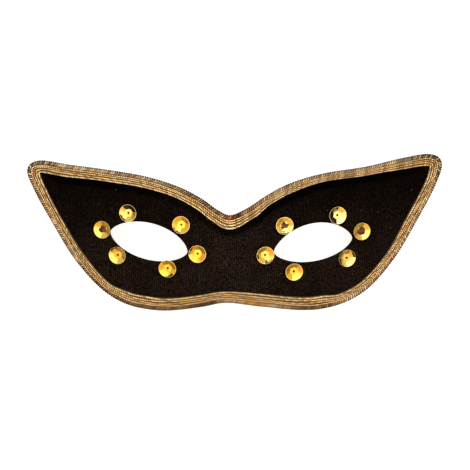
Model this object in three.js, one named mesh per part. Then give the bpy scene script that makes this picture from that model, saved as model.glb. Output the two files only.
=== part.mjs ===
// Butterfly mask: a half mask with upswept corners, covered in black ribbed cloth, bound all round
// in gold braid and trimmed with cup sequins round both eye holes. Millimetres. The mask lies face
// up: +Z is its front, +Y its upper edge, and the origin is the middle of its box, on the surface
// that it rests on.

import * as THREE from 'three';

// Overall sizes, measured over the braid
const WIDTH = 190;
const HEIGHT = 71.8;

// The moulded face: its wall, how far its middle stands above its sides, and its cross curvature
const WALL_THICKNESS = 1.5;
const ARCH_HEIGHT = 22;
const ARCH_POWER = 1.8;
const CROWN_HEIGHT = 4;
const LEAN_DEGREES = 11.3;

// The rolled edge under the braid, and the soft valley and swell just inside the braid
const EDGE_ROLL_DEPTH = 1.6;
const EDGE_ROLL_WIDTH = 3.2;
const VALLEY_DEPTH = 0.9;
const VALLEY_INSET = 2;
const VALLEY_WIDTH = 1.6;
const SWELL_HEIGHT = 0.5;
const SWELL_INSET = 6;
const SWELL_WIDTH = 3;
const SETTLE_WIDTH = 14;

// The raised nose, which widens and rises from the notch down to the lower edge
const NOSE_HEIGHT = 8;
const NOSE_TOP_HALF_WIDTH = 6;
const NOSE_FOOT_HALF_WIDTH = 17;
const NOSE_OFFSET = -1;
const NOSE_START_Y = 4;
const NOSE_POWER = 2.6;
const NOSE_GROWTH = 1.4;

// The eye holes: almonds that rise towards the outer corners, with a softly rolled lip
const EYE_LENGTH = 36.3;
const LID_POWER = 0.63;
const EYE_LIP_WIDTH = 2.5;
const EYE_LIP_DEPTH = 0.5;

// The gold braid, folded over the edge: its thickness, and how far it reaches on each face
const BRAID_THICKNESS = 0.9;
const BRAID_COVER_WIDTH = 4.4;
const BRAID_BACK_COVER_WIDTH = 3;

// Cup sequins
const SEQUIN_DIAMETER = 8;
const SEQUIN_HOLE_DIAMETER = 1.1;
const SEQUIN_FLAT_DIAMETER = 4;
const SEQUIN_RISE_HEIGHT = 1.1;
const SEQUIN_WALL_THICKNESS = 0.3;
const SEQUIN_FACETS = 6;

// Room left between pieces that touch, and how far two moved edges may pass before they cross
const GAP = 0.3;
const CROSSING_GAP = 0.25;

// How finely the curves are stepped, the share of a step over which the edge's direction is taken,
// and the width over which a slope is taken
const STEPS_PER_KNOT = 3;
const MIDDLE_STEPS = 4;
const DIRECTION_STEP = 0.2;
const SLOPE_WIDTH = 1;

// The edge of the face, clockwise from the notch as seen from the front. Across and up are shares of
// the half width and half height, rests is 1 where the edge lies on the surface below, cover is the
// braid's reach on the front as a share of its named size, and dip is how deep the valley is.
const RIM = [
  { across: -0.025, up: 0.187, rests: 0, cover: 1.22, dip: 0.8 },
  { across: 0.064, up: 0.280, rests: 0, cover: 1.00, dip: 0.9 },
  { across: 0.160, up: 0.450, rests: 0, cover: 0.76, dip: 1.0 },
  { across: 0.267, up: 0.602, rests: 0, cover: 0.76, dip: 1.0 },
  { across: 0.426, up: 0.732, rests: 0, cover: 0.62, dip: 1.0 },
  { across: 0.640, up: 0.827, rests: 0, cover: 0.69, dip: 1.0 },
  { across: 0.832, up: 0.950, rests: 0, cover: 0.92, dip: 0.9 },
  { across: 0.949, up: 0.997, rests: 0.6, cover: 1.07, dip: 0.4 },
  { across: 0.991, up: 0.957, rests: 1, cover: 1.15, dip: 0.1 },
  { across: 1.000, up: 0.882, rests: 1, cover: 1.12, dip: 0 },
  { across: 0.970, up: 0.634, rests: 1, cover: 0.93, dip: 0 },
  { across: 0.874, up: 0.141, rests: 1, cover: 0.92, dip: 0 },
  { across: 0.768, up: -0.337, rests: 1, cover: 0.78, dip: 0 },
  { across: 0.640, up: -0.729, rests: 1, cover: 0.80, dip: 0 },
  { across: 0.533, up: -0.899, rests: 0.4, cover: 0.84, dip: 0 },
  { across: 0.426, up: -0.980, rests: 0, cover: 1.16, dip: 0 },
  { across: 0.320, up: -0.997, rests: 0, cover: 1.14, dip: 0 },
  { across: 0.128, up: -0.948, rests: 0, cover: 1.08, dip: 0 },
  { across: -0.050, up: -0.899, rests: 0, cover: 0.97, dip: 0 },
  { across: -0.160, up: -0.954, rests: 0, cover: 1.03, dip: 0 },
  { across: -0.320, up: -1.003, rests: 0, cover: 1.08, dip: 0 },
  { across: -0.426, up: -0.986, rests: 0, cover: 1.13, dip: 0 },
  { across: -0.533, up: -0.911, rests: 0.4, cover: 1.08, dip: 0 },
  { across: -0.640, up: -0.732, rests: 1, cover: 0.80, dip: 0 },
  { across: -0.768, up: -0.349, rests: 1, cover: 0.87, dip: 0 },
  { across: -0.874, up: 0.115, rests: 1, cover: 0.87, dip: 0 },
  { across: -0.970, up: 0.585, rests: 1, cover: 1.00, dip: 0 },
  { across: -1.000, up: 0.801, rests: 1, cover: 1.12, dip: 0 },
  { across: -0.991, up: 0.870, rests: 1, cover: 1.12, dip: 0.2 },
  { across: -0.949, up: 0.911, rests: 0.6, cover: 1.08, dip: 0.5 },
  { across: -0.810, up: 0.856, rests: 0, cover: 1.05, dip: 1.0 },
  { across: -0.640, up: 0.793, rests: 0, cover: 1.00, dip: 1.0 },
  { across: -0.426, up: 0.692, rests: 0, cover: 0.96, dip: 0.8 },
  { across: -0.267, up: 0.553, rests: 0, cover: 0.93, dip: 0.5 },
  { across: -0.160, up: 0.401, rests: 0, cover: 0.96, dip: 0.5 },
  { across: -0.085, up: 0.256, rests: 0, cover: 1.05, dip: 0.6 },
];
const LOWER_MIDDLE_KNOT = 18;
const CORNER_UP = 0.88;

// Each eye hole's middle as shares of the half width and half height, its tilt in degrees, the depth
// of its lids as shares of its length, and how far outwards the upper lid's peak leans.
const EYES = [
  { side: 'left', outward: -1, across: -0.415, up: -0.129, tilt: 15.4, upper: 0.232, lower: 0.221, skew: 1 },
  { side: 'right', outward: 1, across: 0.38, up: -0.168, tilt: 10.8, upper: 0.264, lower: 0.204, skew: 1.12 },
];

// Rings between the edge and an eye hole, as shares of the way to the hole
const EYE_RINGS = [0.45];

// Sequins about each eye hole's middle, as shares of the eye hole's length, with a turn in degrees
const SEQUINS = {
  left: [
    { across: -0.264, up: 0.356, turn: 8 },
    { across: 0.403, up: 0.209, turn: 21 },
    { across: 0.607, up: -0.155, turn: 3 },
    { across: 0.231, up: -0.339, turn: 14 },
    { across: -0.399, up: -0.172, turn: 27 },
    { across: -0.590, up: 0.150, turn: 17 },
  ],
  right: [
    { across: 0.311, up: 0.366, turn: 24 },
    { across: 0.616, up: 0.166, turn: 11 },
    { across: 0.431, up: -0.171, turn: 5 },
    { across: -0.235, up: -0.342, turn: 19 },
    { across: -0.596, up: -0.133, turn: 29 },
    { across: -0.355, up: 0.236, turn: 2 },
  ],
};

// The braid's rounded rows. In is a share of its cover on that face, rise a share of its thickness,
// out a share of its reach past the edge, and level runs from its underside to its top.
const BRAID_FRONT = [
  { in: 1.00, rise: 0.50 },
  { in: 0.86, rise: 1.00 },
  { in: 0.68, rise: 0.60 },
  { in: 0.46, rise: 1.00 },
  { in: 0.24, rise: 0.60 },
  { in: 0.04, rise: 1.00 },
];
const BRAID_EDGE = [
  { out: 0.72, level: 0.86 },
  { out: 1.00, level: 0.50 },
  { out: 0.72, level: 0.14 },
];
const BRAID_BACK = [
  { in: 0.04, rise: 1.00 },
  { in: 0.60, rise: 1.00 },
  { in: 1.00, rise: 0.50 },
];

// Values that follow from the sizes above
const BRAID_PROUD = BRAID_THICKNESS + GAP;
const HALF_WIDTH = WIDTH / 2 - BRAID_PROUD;
const HALF_HEIGHT = HEIGHT / 2 - BRAID_PROUD;
const LEAN = Math.tan(THREE.MathUtils.degToRad(LEAN_DEGREES));
const REST_BACK = BRAID_PROUD;
const LOWER_MIDDLE = LOWER_MIDDLE_KNOT * STEPS_PER_KNOT;

const mix = (a, b, t) => a + (b - a) * t;
const ease = (t) => t * t * (3 - 2 * t);
const bell = (distance, reach) => Math.exp(-((distance / reach) ** 2));

// The nose stands out most at the lower edge and runs out just below the notch.
function noseHeight(x, y) {
  const down = THREE.MathUtils.clamp((NOSE_START_Y - y) / (NOSE_START_Y + HALF_HEIGHT), 0, 1);
  const half = mix(NOSE_TOP_HALF_WIDTH, NOSE_FOOT_HALF_WIDTH, down);
  const share = Math.abs(x - NOSE_OFFSET) / half;
  return NOSE_HEIGHT * down ** NOSE_GROWTH * Math.exp(-(share ** NOSE_POWER));
}

// Height of the moulded form above its two corners, without its rolled rim.
function formHeight(x, y) {
  const across = Math.abs(x) / HALF_WIDTH;
  const upward = y / HALF_HEIGHT;
  const arch = ARCH_HEIGHT * (1 - across ** ARCH_POWER);
  const crown = CROWN_HEIGHT * (1 - across ** 2) * (1 - upward ** 2);
  const lean = LEAN * (y - CORNER_UP * HALF_HEIGHT);
  return arch + crown + lean + noseHeight(x, y);
}

function formNormal(x, y) {
  const half = SLOPE_WIDTH / 2;
  const slopeX = (formHeight(x + half, y) - formHeight(x - half, y)) / SLOPE_WIDTH;
  const slopeY = (formHeight(x, y + half) - formHeight(x, y - half)) / SLOPE_WIDTH;
  return new THREE.Vector3(-slopeX, -slopeY, 1).normalize();
}

// A wall of even thickness is thicker, measured upright, where the form is steep.
function uprightWall(x, y) {
  return WALL_THICKNESS / formNormal(x, y).z;
}

// Change of height near the edge: the roll under the braid, then the valley and the swell.
function edgeHeight(distance, station) {
  const roll = -EDGE_ROLL_DEPTH * bell(distance, EDGE_ROLL_WIDTH);
  const valley = -VALLEY_DEPTH * bell(distance - station.cover - VALLEY_INSET, VALLEY_WIDTH);
  const swell = SWELL_HEIGHT * bell(distance - station.cover - SWELL_INSET, SWELL_WIDTH);
  return roll + station.dip * (valley + swell);
}

// Stations along the edge, each with its place, inward direction and the table's values. Settle is
// how far the surface that the mask rests on moves the edge from its free height.
function rimStations() {
  const knots = RIM.map((row) => new THREE.Vector3(row.across * HALF_WIDTH, row.up * HALF_HEIGHT, 0));
  const path = new THREE.CatmullRomCurve3(knots, true, 'centripetal');
  const count = RIM.length * STEPS_PER_KNOT;
  return Array.from({ length: count }, (_, i) => {
    const knot = Math.floor(i / STEPS_PER_KNOT);
    const row = RIM[knot];
    const next = RIM[(knot + 1) % RIM.length];
    const blend = ease((i % STEPS_PER_KNOT) / STEPS_PER_KNOT);
    const place = path.getPoint(i / count);
    const before = path.getPoint(((i - DIRECTION_STEP + count) / count) % 1);
    const along = path.getPoint((i + DIRECTION_STEP) / count).sub(before).normalize();
    const rests = mix(row.rests, next.rests, blend);
    const free = REST_BACK + WALL_THICKNESS + formHeight(place.x, place.y);
    const resting = REST_BACK + uprightWall(place.x, place.y);
    return {
      place,
      along,
      inward: new THREE.Vector3(along.y, -along.x, 0),
      rests,
      cover: BRAID_COVER_WIDTH * mix(row.cover, next.cover, blend),
      dip: mix(row.dip, next.dip, blend),
      settle: rests * (resting - free),
    };
  });
}

const stations = rimStations();

function rimDistance(point) {
  const line = new THREE.Line3();
  const nearest = new THREE.Vector3();
  return stations.reduce((best, station, i) => {
    line.set(station.place, stations[(i + 1) % stations.length].place);
    line.closestPointToPoint(point, true, nearest);
    return Math.min(best, nearest.distanceTo(point));
  }, Infinity);
}

// A point of the face with its front and back heights. The distance is measured from the edge.
function facePoint(place, distance, station, roll = 0) {
  const base = REST_BACK + WALL_THICKNESS + EDGE_ROLL_DEPTH + formHeight(place.x, place.y) - roll;
  const front = base + edgeHeight(distance, station) + station.settle * bell(distance, SETTLE_WIDTH);
  return { place, front, back: front - uprightWall(place.x, place.y), station };
}

// Where the two offset edges of a corner meet.
function mitrePoint(a, alongA, b, alongB) {
  const gap = b.clone().sub(a);
  const cross = alongA.x * alongB.y - alongA.y * alongB.x;
  return a.clone().addScaledVector(alongA, (gap.x * alongB.y - gap.y * alongB.x) / cross);
}

// The edge moved inwards. At the two sharp corners the points that would cross gather in the mitre.
function insetRing(depthOf) {
  const count = stations.length;
  const places = stations.map((s) => s.place.clone().addScaledVector(s.inward, depthOf(s)));
  const crossed = places.map((place, i) => rimDistance(place) < depthOf(stations[i]) - CROSSING_GAP);
  const lost = crossed.map((_, i) => [count - 1, 0, 1].some((step) => crossed[(i + step) % count]));
  const ring = places.map((place, i) => facePoint(place, depthOf(stations[i]), stations[i]));
  stations.forEach((_, start) => {
    const first = (start + count - 1) % count;
    if (!lost[start] || lost[first]) {
      return;
    }
    let end = start;
    while (lost[end % count]) {
      end += 1;
    }
    const last = end % count;
    const corner = mitrePoint(places[first], stations[first].along, places[last], stations[last].along);
    const station = stations[Math.floor((start + end) / 2) % count];
    const point = facePoint(corner, depthOf(station), station);
    for (let k = start; k < end; k += 1) {
      ring[k % count] = point;
    }
  });
  return ring;
}

// A closed mesh, gathered as points and triangles. Triangles that shrink to a line are left out.
class Shell {
  constructor() {
    this.positions = [];
    this.index = [];
    this.known = new Map();
  }

  point(x, y, z) {
    const key = [x, y, z].map((value) => Math.round(value * 1000)).join(' ');
    if (!this.known.has(key)) {
      this.known.set(key, this.positions.length / 3);
      this.positions.push(x, y, z);
    }
    return this.known.get(key);
  }

  triangle(a, b, c) {
    if (a !== b && b !== c && c !== a) {
      this.index.push(a, b, c);
    }
  }

  span(a, b) {
    return Math.hypot(...[0, 1, 2].map((i) => this.positions[3 * a + i] - this.positions[3 * b + i]));
  }

  // Joins two closed clockwise rings of equal length, each quad split along its shorter diagonal.
  band(first, second) {
    first.forEach((a, i) => {
      const next = (i + 1) % first.length;
      const [b, c, d] = [first[next], second[next], second[i]];
      if (this.span(a, c) < this.span(b, d)) {
        this.triangle(a, b, c);
        this.triangle(a, c, d);
      } else {
        this.triangle(b, c, d);
        this.triangle(b, d, a);
      }
    });
  }

  geometry() {
    const geometry = new THREE.BufferGeometry();
    geometry.setAttribute('position', new THREE.Float32BufferAttribute(this.positions, 3));
    geometry.setIndex(this.index);
    geometry.computeVertexNormals();
    return geometry;
  }
}

// Rings of the face from its edge to the swell inside the braid.
function edgeRings() {
  const covered = insetRing((s) => s.cover);
  return [
    stations.map((s) => facePoint(s.place, 0, s)),
    stations.map((s, i) => facePoint(s.place.clone().lerp(covered[i].place, 0.5), s.cover / 2, s)),
    covered,
    insetRing((s) => s.cover + VALLEY_INSET),
    insetRing((s) => s.cover + SWELL_INSET),
  ];
}

// A point on an eye hole's lid. Share runs from the outer corner to the inner one.
function lidPoint(eye, lid, share) {
  const along = (1 + Math.cos(Math.PI * share)) / 2;
  const peaked = lid === 'upper' ? along ** eye.skew : along;
  const depth = EYE_LENGTH * eye[lid] * (4 * peaked * (1 - peaked)) ** LID_POWER;
  const point = new THREE.Vector2(EYE_LENGTH * (along - 0.5), lid === 'upper' ? depth : -depth);
  point.rotateAround(new THREE.Vector2(), THREE.MathUtils.degToRad(eye.tilt));
  const across = eye.across * HALF_WIDTH + eye.outward * point.x;
  return new THREE.Vector3(across, eye.up * HALF_HEIGHT + point.y, 0);
}

// One half of the face inside the edge rings: a clockwise loop that starts at its upswept corner,
// runs over one lid's side to the middle line, and comes back over the other lid's side.
function halfLoop(ring, eye) {
  const half = eye.outward > 0 ? ring.slice(0, LOWER_MIDDLE + 1) : [...ring.slice(LOWER_MIDDLE), ring[0]];
  const loop = half.filter((point, i) => point !== half[i - 1]);
  const shares = Array.from({ length: MIDDLE_STEPS - 1 }, (_, i) => (i + 1) / MIDDLE_STEPS);
  const middleLine = shares.map((share) => {
    const place = ring[LOWER_MIDDLE].place.clone().lerp(ring[0].place, share);
    const nearest = ring[share > 0.5 ? 0 : LOWER_MIDDLE].station;
    return facePoint(place, rimDistance(place), nearest);
  });
  loop.push(...(eye.outward > 0 ? middleLine : middleLine.reverse()));
  const outermost = Math.max(...loop.map((point) => point.place.x * eye.outward));
  const corner = loop.findIndex((point) => point.place.x * eye.outward === outermost);
  const inner = loop.length - MIDDLE_STEPS / 2 - corner;
  return { loop: [...loop.slice(corner), ...loop.slice(0, corner)], inner };
}

// The eye hole's outline, one point for each point of the loop, spread evenly along both lids.
function eyeOutline(loop, inner, eye) {
  const lengths = [0];
  loop.forEach((point, i) => {
    lengths.push(lengths[i] + point.place.distanceTo(loop[(i + 1) % loop.length].place));
  });
  const total = lengths[loop.length];
  const lids = eye.outward > 0 ? ['lower', 'upper'] : ['upper', 'lower'];
  return loop.map((point, i) => {
    const share = i <= inner
      ? lengths[i] / lengths[inner]
      : (total - lengths[i]) / (total - lengths[inner]);
    return lidPoint(eye, i <= inner ? lids[0] : lids[1], share);
  });
}

// Rings of the face from the loop round one half to the rim of its eye hole.
function eyeRings(ring, eye) {
  const { loop, inner } = halfLoop(ring, eye);
  const outline = eyeOutline(loop, inner, eye);
  const between = EYE_RINGS.map((share) => loop.map((point, i) => {
    return point.place.clone().lerp(outline[i], share);
  }));
  const lip = loop.map((point, i) => {
    const span = point.place.distanceTo(outline[i]);
    return outline[i].clone().lerp(point.place, EYE_LIP_WIDTH / span);
  });
  const place = (spot, i, roll) => facePoint(spot, rimDistance(spot), loop[i].station, roll);
  return [
    loop,
    ...[...between, lip].map((spots) => spots.map((spot, i) => place(spot, i, 0))),
    outline.map((spot, i) => place(spot, i, EYE_LIP_DEPTH)),
  ];
}

function faceGeometry(rings) {
  const shell = new Shell();
  const ids = (ring, side) => ring.map(({ place, [side]: height }) => shell.point(place.x, place.y, height));
  const addSheets = (rows) => rows.slice(1).forEach((row, i) => {
    shell.band(ids(row, 'front'), ids(rows[i], 'front'));
    shell.band(ids(rows[i], 'back'), ids(row, 'back'));
  });
  addSheets(rings);
  shell.band(ids(rings[0], 'front'), ids(rings[0], 'back'));
  EYES.forEach((eye) => {
    const rows = eyeRings(rings[rings.length - 1], eye);
    addSheets(rows);
    shell.band(ids(rows[rows.length - 1], 'back'), ids(rows[rows.length - 1], 'front'));
  });
  return shell.geometry();
}

// The braid's section at every station, as rings that run round the mask. It is folded over the
// edge, follows the cloth at the gap, and lies flat where the mask rests.
function braidGeometry([edge, halfway, covered]) {
  const shell = new Shell();
  const at = (i, share) => {
    const [from, to, t] = share < 0.5
      ? [edge[i], halfway[i], share * 2]
      : [halfway[i], covered[i], share * 2 - 1];
    return {
      place: from.place.clone().lerp(to.place, t),
      front: mix(from.front, to.front, t),
      back: mix(from.back, to.back, t),
    };
  };
  const backShare = (i) => Math.min(1, BRAID_BACK_COVER_WIDTH / stations[i].cover);
  const onFront = (share, rise) => edge.map((_, i) => {
    const { place, front } = at(i, share);
    return shell.point(place.x, place.y, front + GAP + rise * BRAID_THICKNESS);
  });
  const onBack = (shareOf, rise) => edge.map((_, i) => {
    const { place, back } = at(i, shareOf(i));
    const free = Math.max(0, back - GAP - rise * BRAID_THICKNESS);
    return shell.point(place.x, place.y, rise === 1 ? mix(free, 0, stations[i].rests) : free);
  });
  const beside = (out, heightOf) => edge.map((point, i) => {
    const place = point.place.clone().addScaledVector(stations[i].inward, -out);
    return shell.point(place.x, place.y, heightOf(point));
  });
  const rings = [
    onFront(1, 0),
    ...BRAID_FRONT.map((row) => onFront(row.in, row.rise)),
    ...BRAID_EDGE.map((row) => beside(row.out * BRAID_PROUD, ({ front, back }) => {
      return mix(back - BRAID_PROUD, front + BRAID_PROUD, row.level);
    })),
    ...BRAID_BACK.map((row) => onBack((i) => row.in * backShare(i), row.rise)),
    onBack(backShare, 0),
    onBack((i) => Math.min(0.5, backShare(i)), 0),
    beside(GAP, ({ back }) => back - GAP),
    beside(GAP, ({ front }) => front + GAP),
    onFront(0.5, 0),
  ];
  rings.forEach((ring, i) => shell.band(ring, rings[(i + 1) % rings.length]));
  return shell.geometry();
}

// A faceted cup with a flat many-sided middle and a hole for its thread, resting on its flat.
function sequinGeometry() {
  const shell = new Shell();
  const sides = SEQUIN_FACETS * 2;
  const ring = (diameter, height, midFactor) => Array.from({ length: sides }, (_, i) => {
    const angle = (-2 * Math.PI * i) / sides;
    const radius = (diameter / 2) * (i % 2 ? midFactor : 1);
    return shell.point(radius * Math.cos(angle), radius * Math.sin(angle), height);
  });
  const midFactor = Math.cos(Math.PI / SEQUIN_FACETS);
  const rings = [
    ring(SEQUIN_HOLE_DIAMETER, SEQUIN_WALL_THICKNESS, 1),
    ring(SEQUIN_FLAT_DIAMETER, SEQUIN_WALL_THICKNESS, midFactor),
    ring(SEQUIN_DIAMETER, SEQUIN_WALL_THICKNESS + SEQUIN_RISE_HEIGHT, 1),
    ring(SEQUIN_DIAMETER, SEQUIN_RISE_HEIGHT, 1),
    ring(SEQUIN_FLAT_DIAMETER, 0, midFactor),
    ring(SEQUIN_HOLE_DIAMETER, 0, 1),
  ];
  rings.forEach((points, i) => shell.band(points, rings[(i + 1) % rings.length]));
  return shell.geometry();
}

// Lays a sequin square on the cloth, the gap above the highest cloth under its flat. The middle of
// its rim comes over the given place.
function seatSequin(mesh, face, rimX, rimY, turn) {
  const normal = formNormal(rimX, rimY);
  const rimHeight = GAP + SEQUIN_WALL_THICKNESS + SEQUIN_RISE_HEIGHT;
  const x = rimX - normal.x * rimHeight;
  const y = rimY - normal.y * rimHeight;
  const caster = new THREE.Raycaster();
  const down = new THREE.Vector3(0, 0, -1);
  const radius = SEQUIN_FLAT_DIAMETER / 2;
  const angles = Array.from({ length: SEQUIN_FACETS }, (_, i) => (2 * Math.PI * i) / SEQUIN_FACETS);
  const samples = [radius, radius / 2].flatMap((reach) => angles.map((angle) => {
    return [reach * Math.cos(angle), reach * Math.sin(angle)];
  }));
  const heights = samples.flatMap(([dx, dy]) => {
    caster.set(new THREE.Vector3(x + dx, y + dy, 2 * HALF_WIDTH), down);
    const hit = caster.intersectObject(face)[0];
    return hit ? [hit.point.z + (normal.x * dx + normal.y * dy) / normal.z] : [];
  });
  mesh.position.set(x, y, Math.max(...heights)).addScaledVector(normal, GAP);
  mesh.quaternion.setFromUnitVectors(new THREE.Vector3(0, 0, 1), normal);
  mesh.rotateZ(THREE.MathUtils.degToRad(turn));
}

const cloth = new THREE.MeshStandardMaterial({ color: 0x15100d, roughness: 0.9, metalness: 0 });
const braidGold = new THREE.MeshStandardMaterial({ color: 0xb08a4e, roughness: 0.45, metalness: 0.7 });
const sequinGold = new THREE.MeshStandardMaterial({ color: 0xe0a419, roughness: 0.15, metalness: 0.8 });

function namedMesh(name, geometry, material) {
  const mesh = new THREE.Mesh(geometry, material);
  mesh.name = name;
  return mesh;
}

const rings = edgeRings();
const face = namedMesh('mask_face', faceGeometry(rings), cloth);
const braid = namedMesh('edge_braid', braidGeometry(rings), braidGold);
const sequins = EYES.flatMap((eye) => SEQUINS[eye.side].map((row, i) => {
  const mesh = namedMesh(`sequin_${eye.side}_${i + 1}`, sequinGeometry(), sequinGold);
  const x = eye.across * HALF_WIDTH + row.across * EYE_LENGTH;
  const y = eye.up * HALF_HEIGHT + row.up * EYE_LENGTH;
  seatSequin(mesh, face, x, y, row.turn);
  return mesh;
}));

// The group is moved so that the middle of the mask's box, on its resting side, is the origin.
const mask = new THREE.Group();
mask.name = 'butterfly_mask';
mask.add(face, braid, ...sequins);
const box = new THREE.Box3().setFromObject(mask);
const middle = box.getCenter(new THREE.Vector3());
mask.position.set(-middle.x, -middle.y, -box.min.z);

export default mask;
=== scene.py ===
"""Looks of a butterfly half mask: black ribbed cloth, a gold braid round its edge, and cup sequins.

The mask lies face up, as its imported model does: +Z is its front, +Y its upper edge. Lengths are
metres, and the tables below hold shares of the named sizes.
"""

from __future__ import annotations

import logging
import math
import sys
from dataclasses import dataclass, field
from enum import Enum

import bmesh
import bpy
import numpy as np
from mathutils import Matrix, Vector
from mathutils.bvhtree import BVHTree

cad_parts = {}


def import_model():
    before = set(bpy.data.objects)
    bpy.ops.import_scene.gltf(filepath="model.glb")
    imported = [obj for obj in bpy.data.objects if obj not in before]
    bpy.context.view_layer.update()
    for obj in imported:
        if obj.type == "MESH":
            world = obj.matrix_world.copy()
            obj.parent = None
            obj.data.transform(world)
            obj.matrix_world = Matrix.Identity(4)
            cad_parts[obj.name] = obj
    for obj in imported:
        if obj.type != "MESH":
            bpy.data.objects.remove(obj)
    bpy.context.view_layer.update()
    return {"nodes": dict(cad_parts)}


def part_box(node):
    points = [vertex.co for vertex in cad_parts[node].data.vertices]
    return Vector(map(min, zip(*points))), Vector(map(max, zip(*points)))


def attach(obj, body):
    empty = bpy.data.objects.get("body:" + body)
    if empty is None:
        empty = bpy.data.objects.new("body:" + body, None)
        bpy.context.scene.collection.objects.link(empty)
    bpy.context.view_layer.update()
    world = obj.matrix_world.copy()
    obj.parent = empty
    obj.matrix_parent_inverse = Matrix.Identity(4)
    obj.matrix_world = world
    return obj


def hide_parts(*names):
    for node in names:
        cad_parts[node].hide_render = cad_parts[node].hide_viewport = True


LOG = logging.getLogger("butterfly_mask")
MM = 0.001
BODY = "root"
Colour = tuple[float, float, float]
Value = float | bpy.types.NodeSocket

# The moulded form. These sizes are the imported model's.
WALL_THICKNESS = 1.5 * MM
ARCH_HEIGHT = 22 * MM
ARCH_POWER = 1.8
CROWN_HEIGHT = 4 * MM
LEAN = math.tan(math.radians(11.3))
EDGE_ROLL_DEPTH = 1.6 * MM
EDGE_ROLL_WIDTH = 3.2 * MM
VALLEY_DEPTH = 0.9 * MM
VALLEY_INSET = 2 * MM
VALLEY_WIDTH = 1.6 * MM
SWELL_HEIGHT = 0.5 * MM
SWELL_INSET = 6 * MM
SWELL_WIDTH = 3 * MM
SETTLE_WIDTH = 14 * MM
NOSE_HEIGHT = 8 * MM
NOSE_TOP_HALF_WIDTH = 6 * MM
NOSE_FOOT_HALF_WIDTH = 17 * MM
NOSE_OFFSET = -1 * MM
NOSE_START_Y = 4 * MM
NOSE_POWER = 2.6
NOSE_GROWTH = 1.4
EYE_LENGTH = 36.3 * MM
LID_POWER = 0.63
EYE_LIP_WIDTH = 2.5 * MM
EYE_LIP_DEPTH = 0.5 * MM
BRAID_THICKNESS = 0.9 * MM
BRAID_COVER_WIDTH = 4.4 * MM
BRAID_BACK_COVER_WIDTH = 3 * MM
SEQUIN_DIAMETER = 8 * MM
SEQUIN_HOLE_DIAMETER = 1.1 * MM
SEQUIN_FLAT_DIAMETER = 4 * MM
SEQUIN_RISE_HEIGHT = 1.1 * MM
SEQUIN_FACETS = 6
GAP = 0.3 * MM
BRAID_PROUD = BRAID_THICKNESS + GAP
PACKED_STEPS = 3

# How near two points of a mesh lie before they are merged
WELD_DISTANCE = 0.004 * MM
# How many points are measured against the whole edge at a time
CHUNK = 1000


@dataclass(frozen=True)
class RimKnot:
    """One knot of the mask's edge, in shares of its half width and half height.

    Args:
        across: Share across from the middle.
        up: Share upwards from the middle.
        rests: 1 where the edge lies on the surface below, and 0 where it stands free.
        cover: The braid's reach on the front, as a share of its named size.
        dip: How deep the valley beside the braid is, as a share of its named depth.
    """

    across: float
    up: float
    rests: float
    cover: float
    dip: float


# Clockwise from the notch, as seen from the front
RIM = (
    RimKnot(-0.025, 0.187, 0.0, 1.22, 0.8),
    RimKnot(0.064, 0.280, 0.0, 1.00, 0.9),
    RimKnot(0.160, 0.450, 0.0, 0.76, 1.0),
    RimKnot(0.267, 0.602, 0.0, 0.76, 1.0),
    RimKnot(0.426, 0.732, 0.0, 0.62, 1.0),
    RimKnot(0.640, 0.827, 0.0, 0.69, 1.0),
    RimKnot(0.832, 0.950, 0.0, 0.92, 0.9),
    RimKnot(0.949, 0.997, 0.6, 1.07, 0.4),
    RimKnot(0.991, 0.957, 1.0, 1.15, 0.1),
    RimKnot(1.000, 0.882, 1.0, 1.12, 0.0),
    RimKnot(0.970, 0.634, 1.0, 0.93, 0.0),
    RimKnot(0.874, 0.141, 1.0, 0.92, 0.0),
    RimKnot(0.768, -0.337, 1.0, 0.78, 0.0),
    RimKnot(0.640, -0.729, 1.0, 0.80, 0.0),
    RimKnot(0.533, -0.899, 0.4, 0.84, 0.0),
    RimKnot(0.426, -0.980, 0.0, 1.16, 0.0),
    RimKnot(0.320, -0.997, 0.0, 1.14, 0.0),
    RimKnot(0.128, -0.948, 0.0, 1.08, 0.0),
    RimKnot(-0.050, -0.899, 0.0, 0.97, 0.0),
    RimKnot(-0.160, -0.954, 0.0, 1.03, 0.0),
    RimKnot(-0.320, -1.003, 0.0, 1.08, 0.0),
    RimKnot(-0.426, -0.986, 0.0, 1.13, 0.0),
    RimKnot(-0.533, -0.911, 0.4, 1.08, 0.0),
    RimKnot(-0.640, -0.732, 1.0, 0.80, 0.0),
    RimKnot(-0.768, -0.349, 1.0, 0.87, 0.0),
    RimKnot(-0.874, 0.115, 1.0, 0.87, 0.0),
    RimKnot(-0.970, 0.585, 1.0, 1.00, 0.0),
    RimKnot(-1.000, 0.801, 1.0, 1.12, 0.0),
    RimKnot(-0.991, 0.870, 1.0, 1.12, 0.2),
    RimKnot(-0.949, 0.911, 0.6, 1.08, 0.5),
    RimKnot(-0.810, 0.856, 0.0, 1.05, 1.0),
    RimKnot(-0.640, 0.793, 0.0, 1.00, 1.0),
    RimKnot(-0.426, 0.692, 0.0, 0.96, 0.8),
    RimKnot(-0.267, 0.553, 0.0, 0.93, 0.5),
    RimKnot(-0.160, 0.401, 0.0, 0.96, 0.5),
    RimKnot(-0.085, 0.256, 0.0, 1.05, 0.6),
)
LOWER_MIDDLE_KNOT = 18
CORNER_UP = 0.88


class Lid(Enum):
    """The two lids of an eye hole."""

    UPPER = "upper"
    LOWER = "lower"


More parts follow.
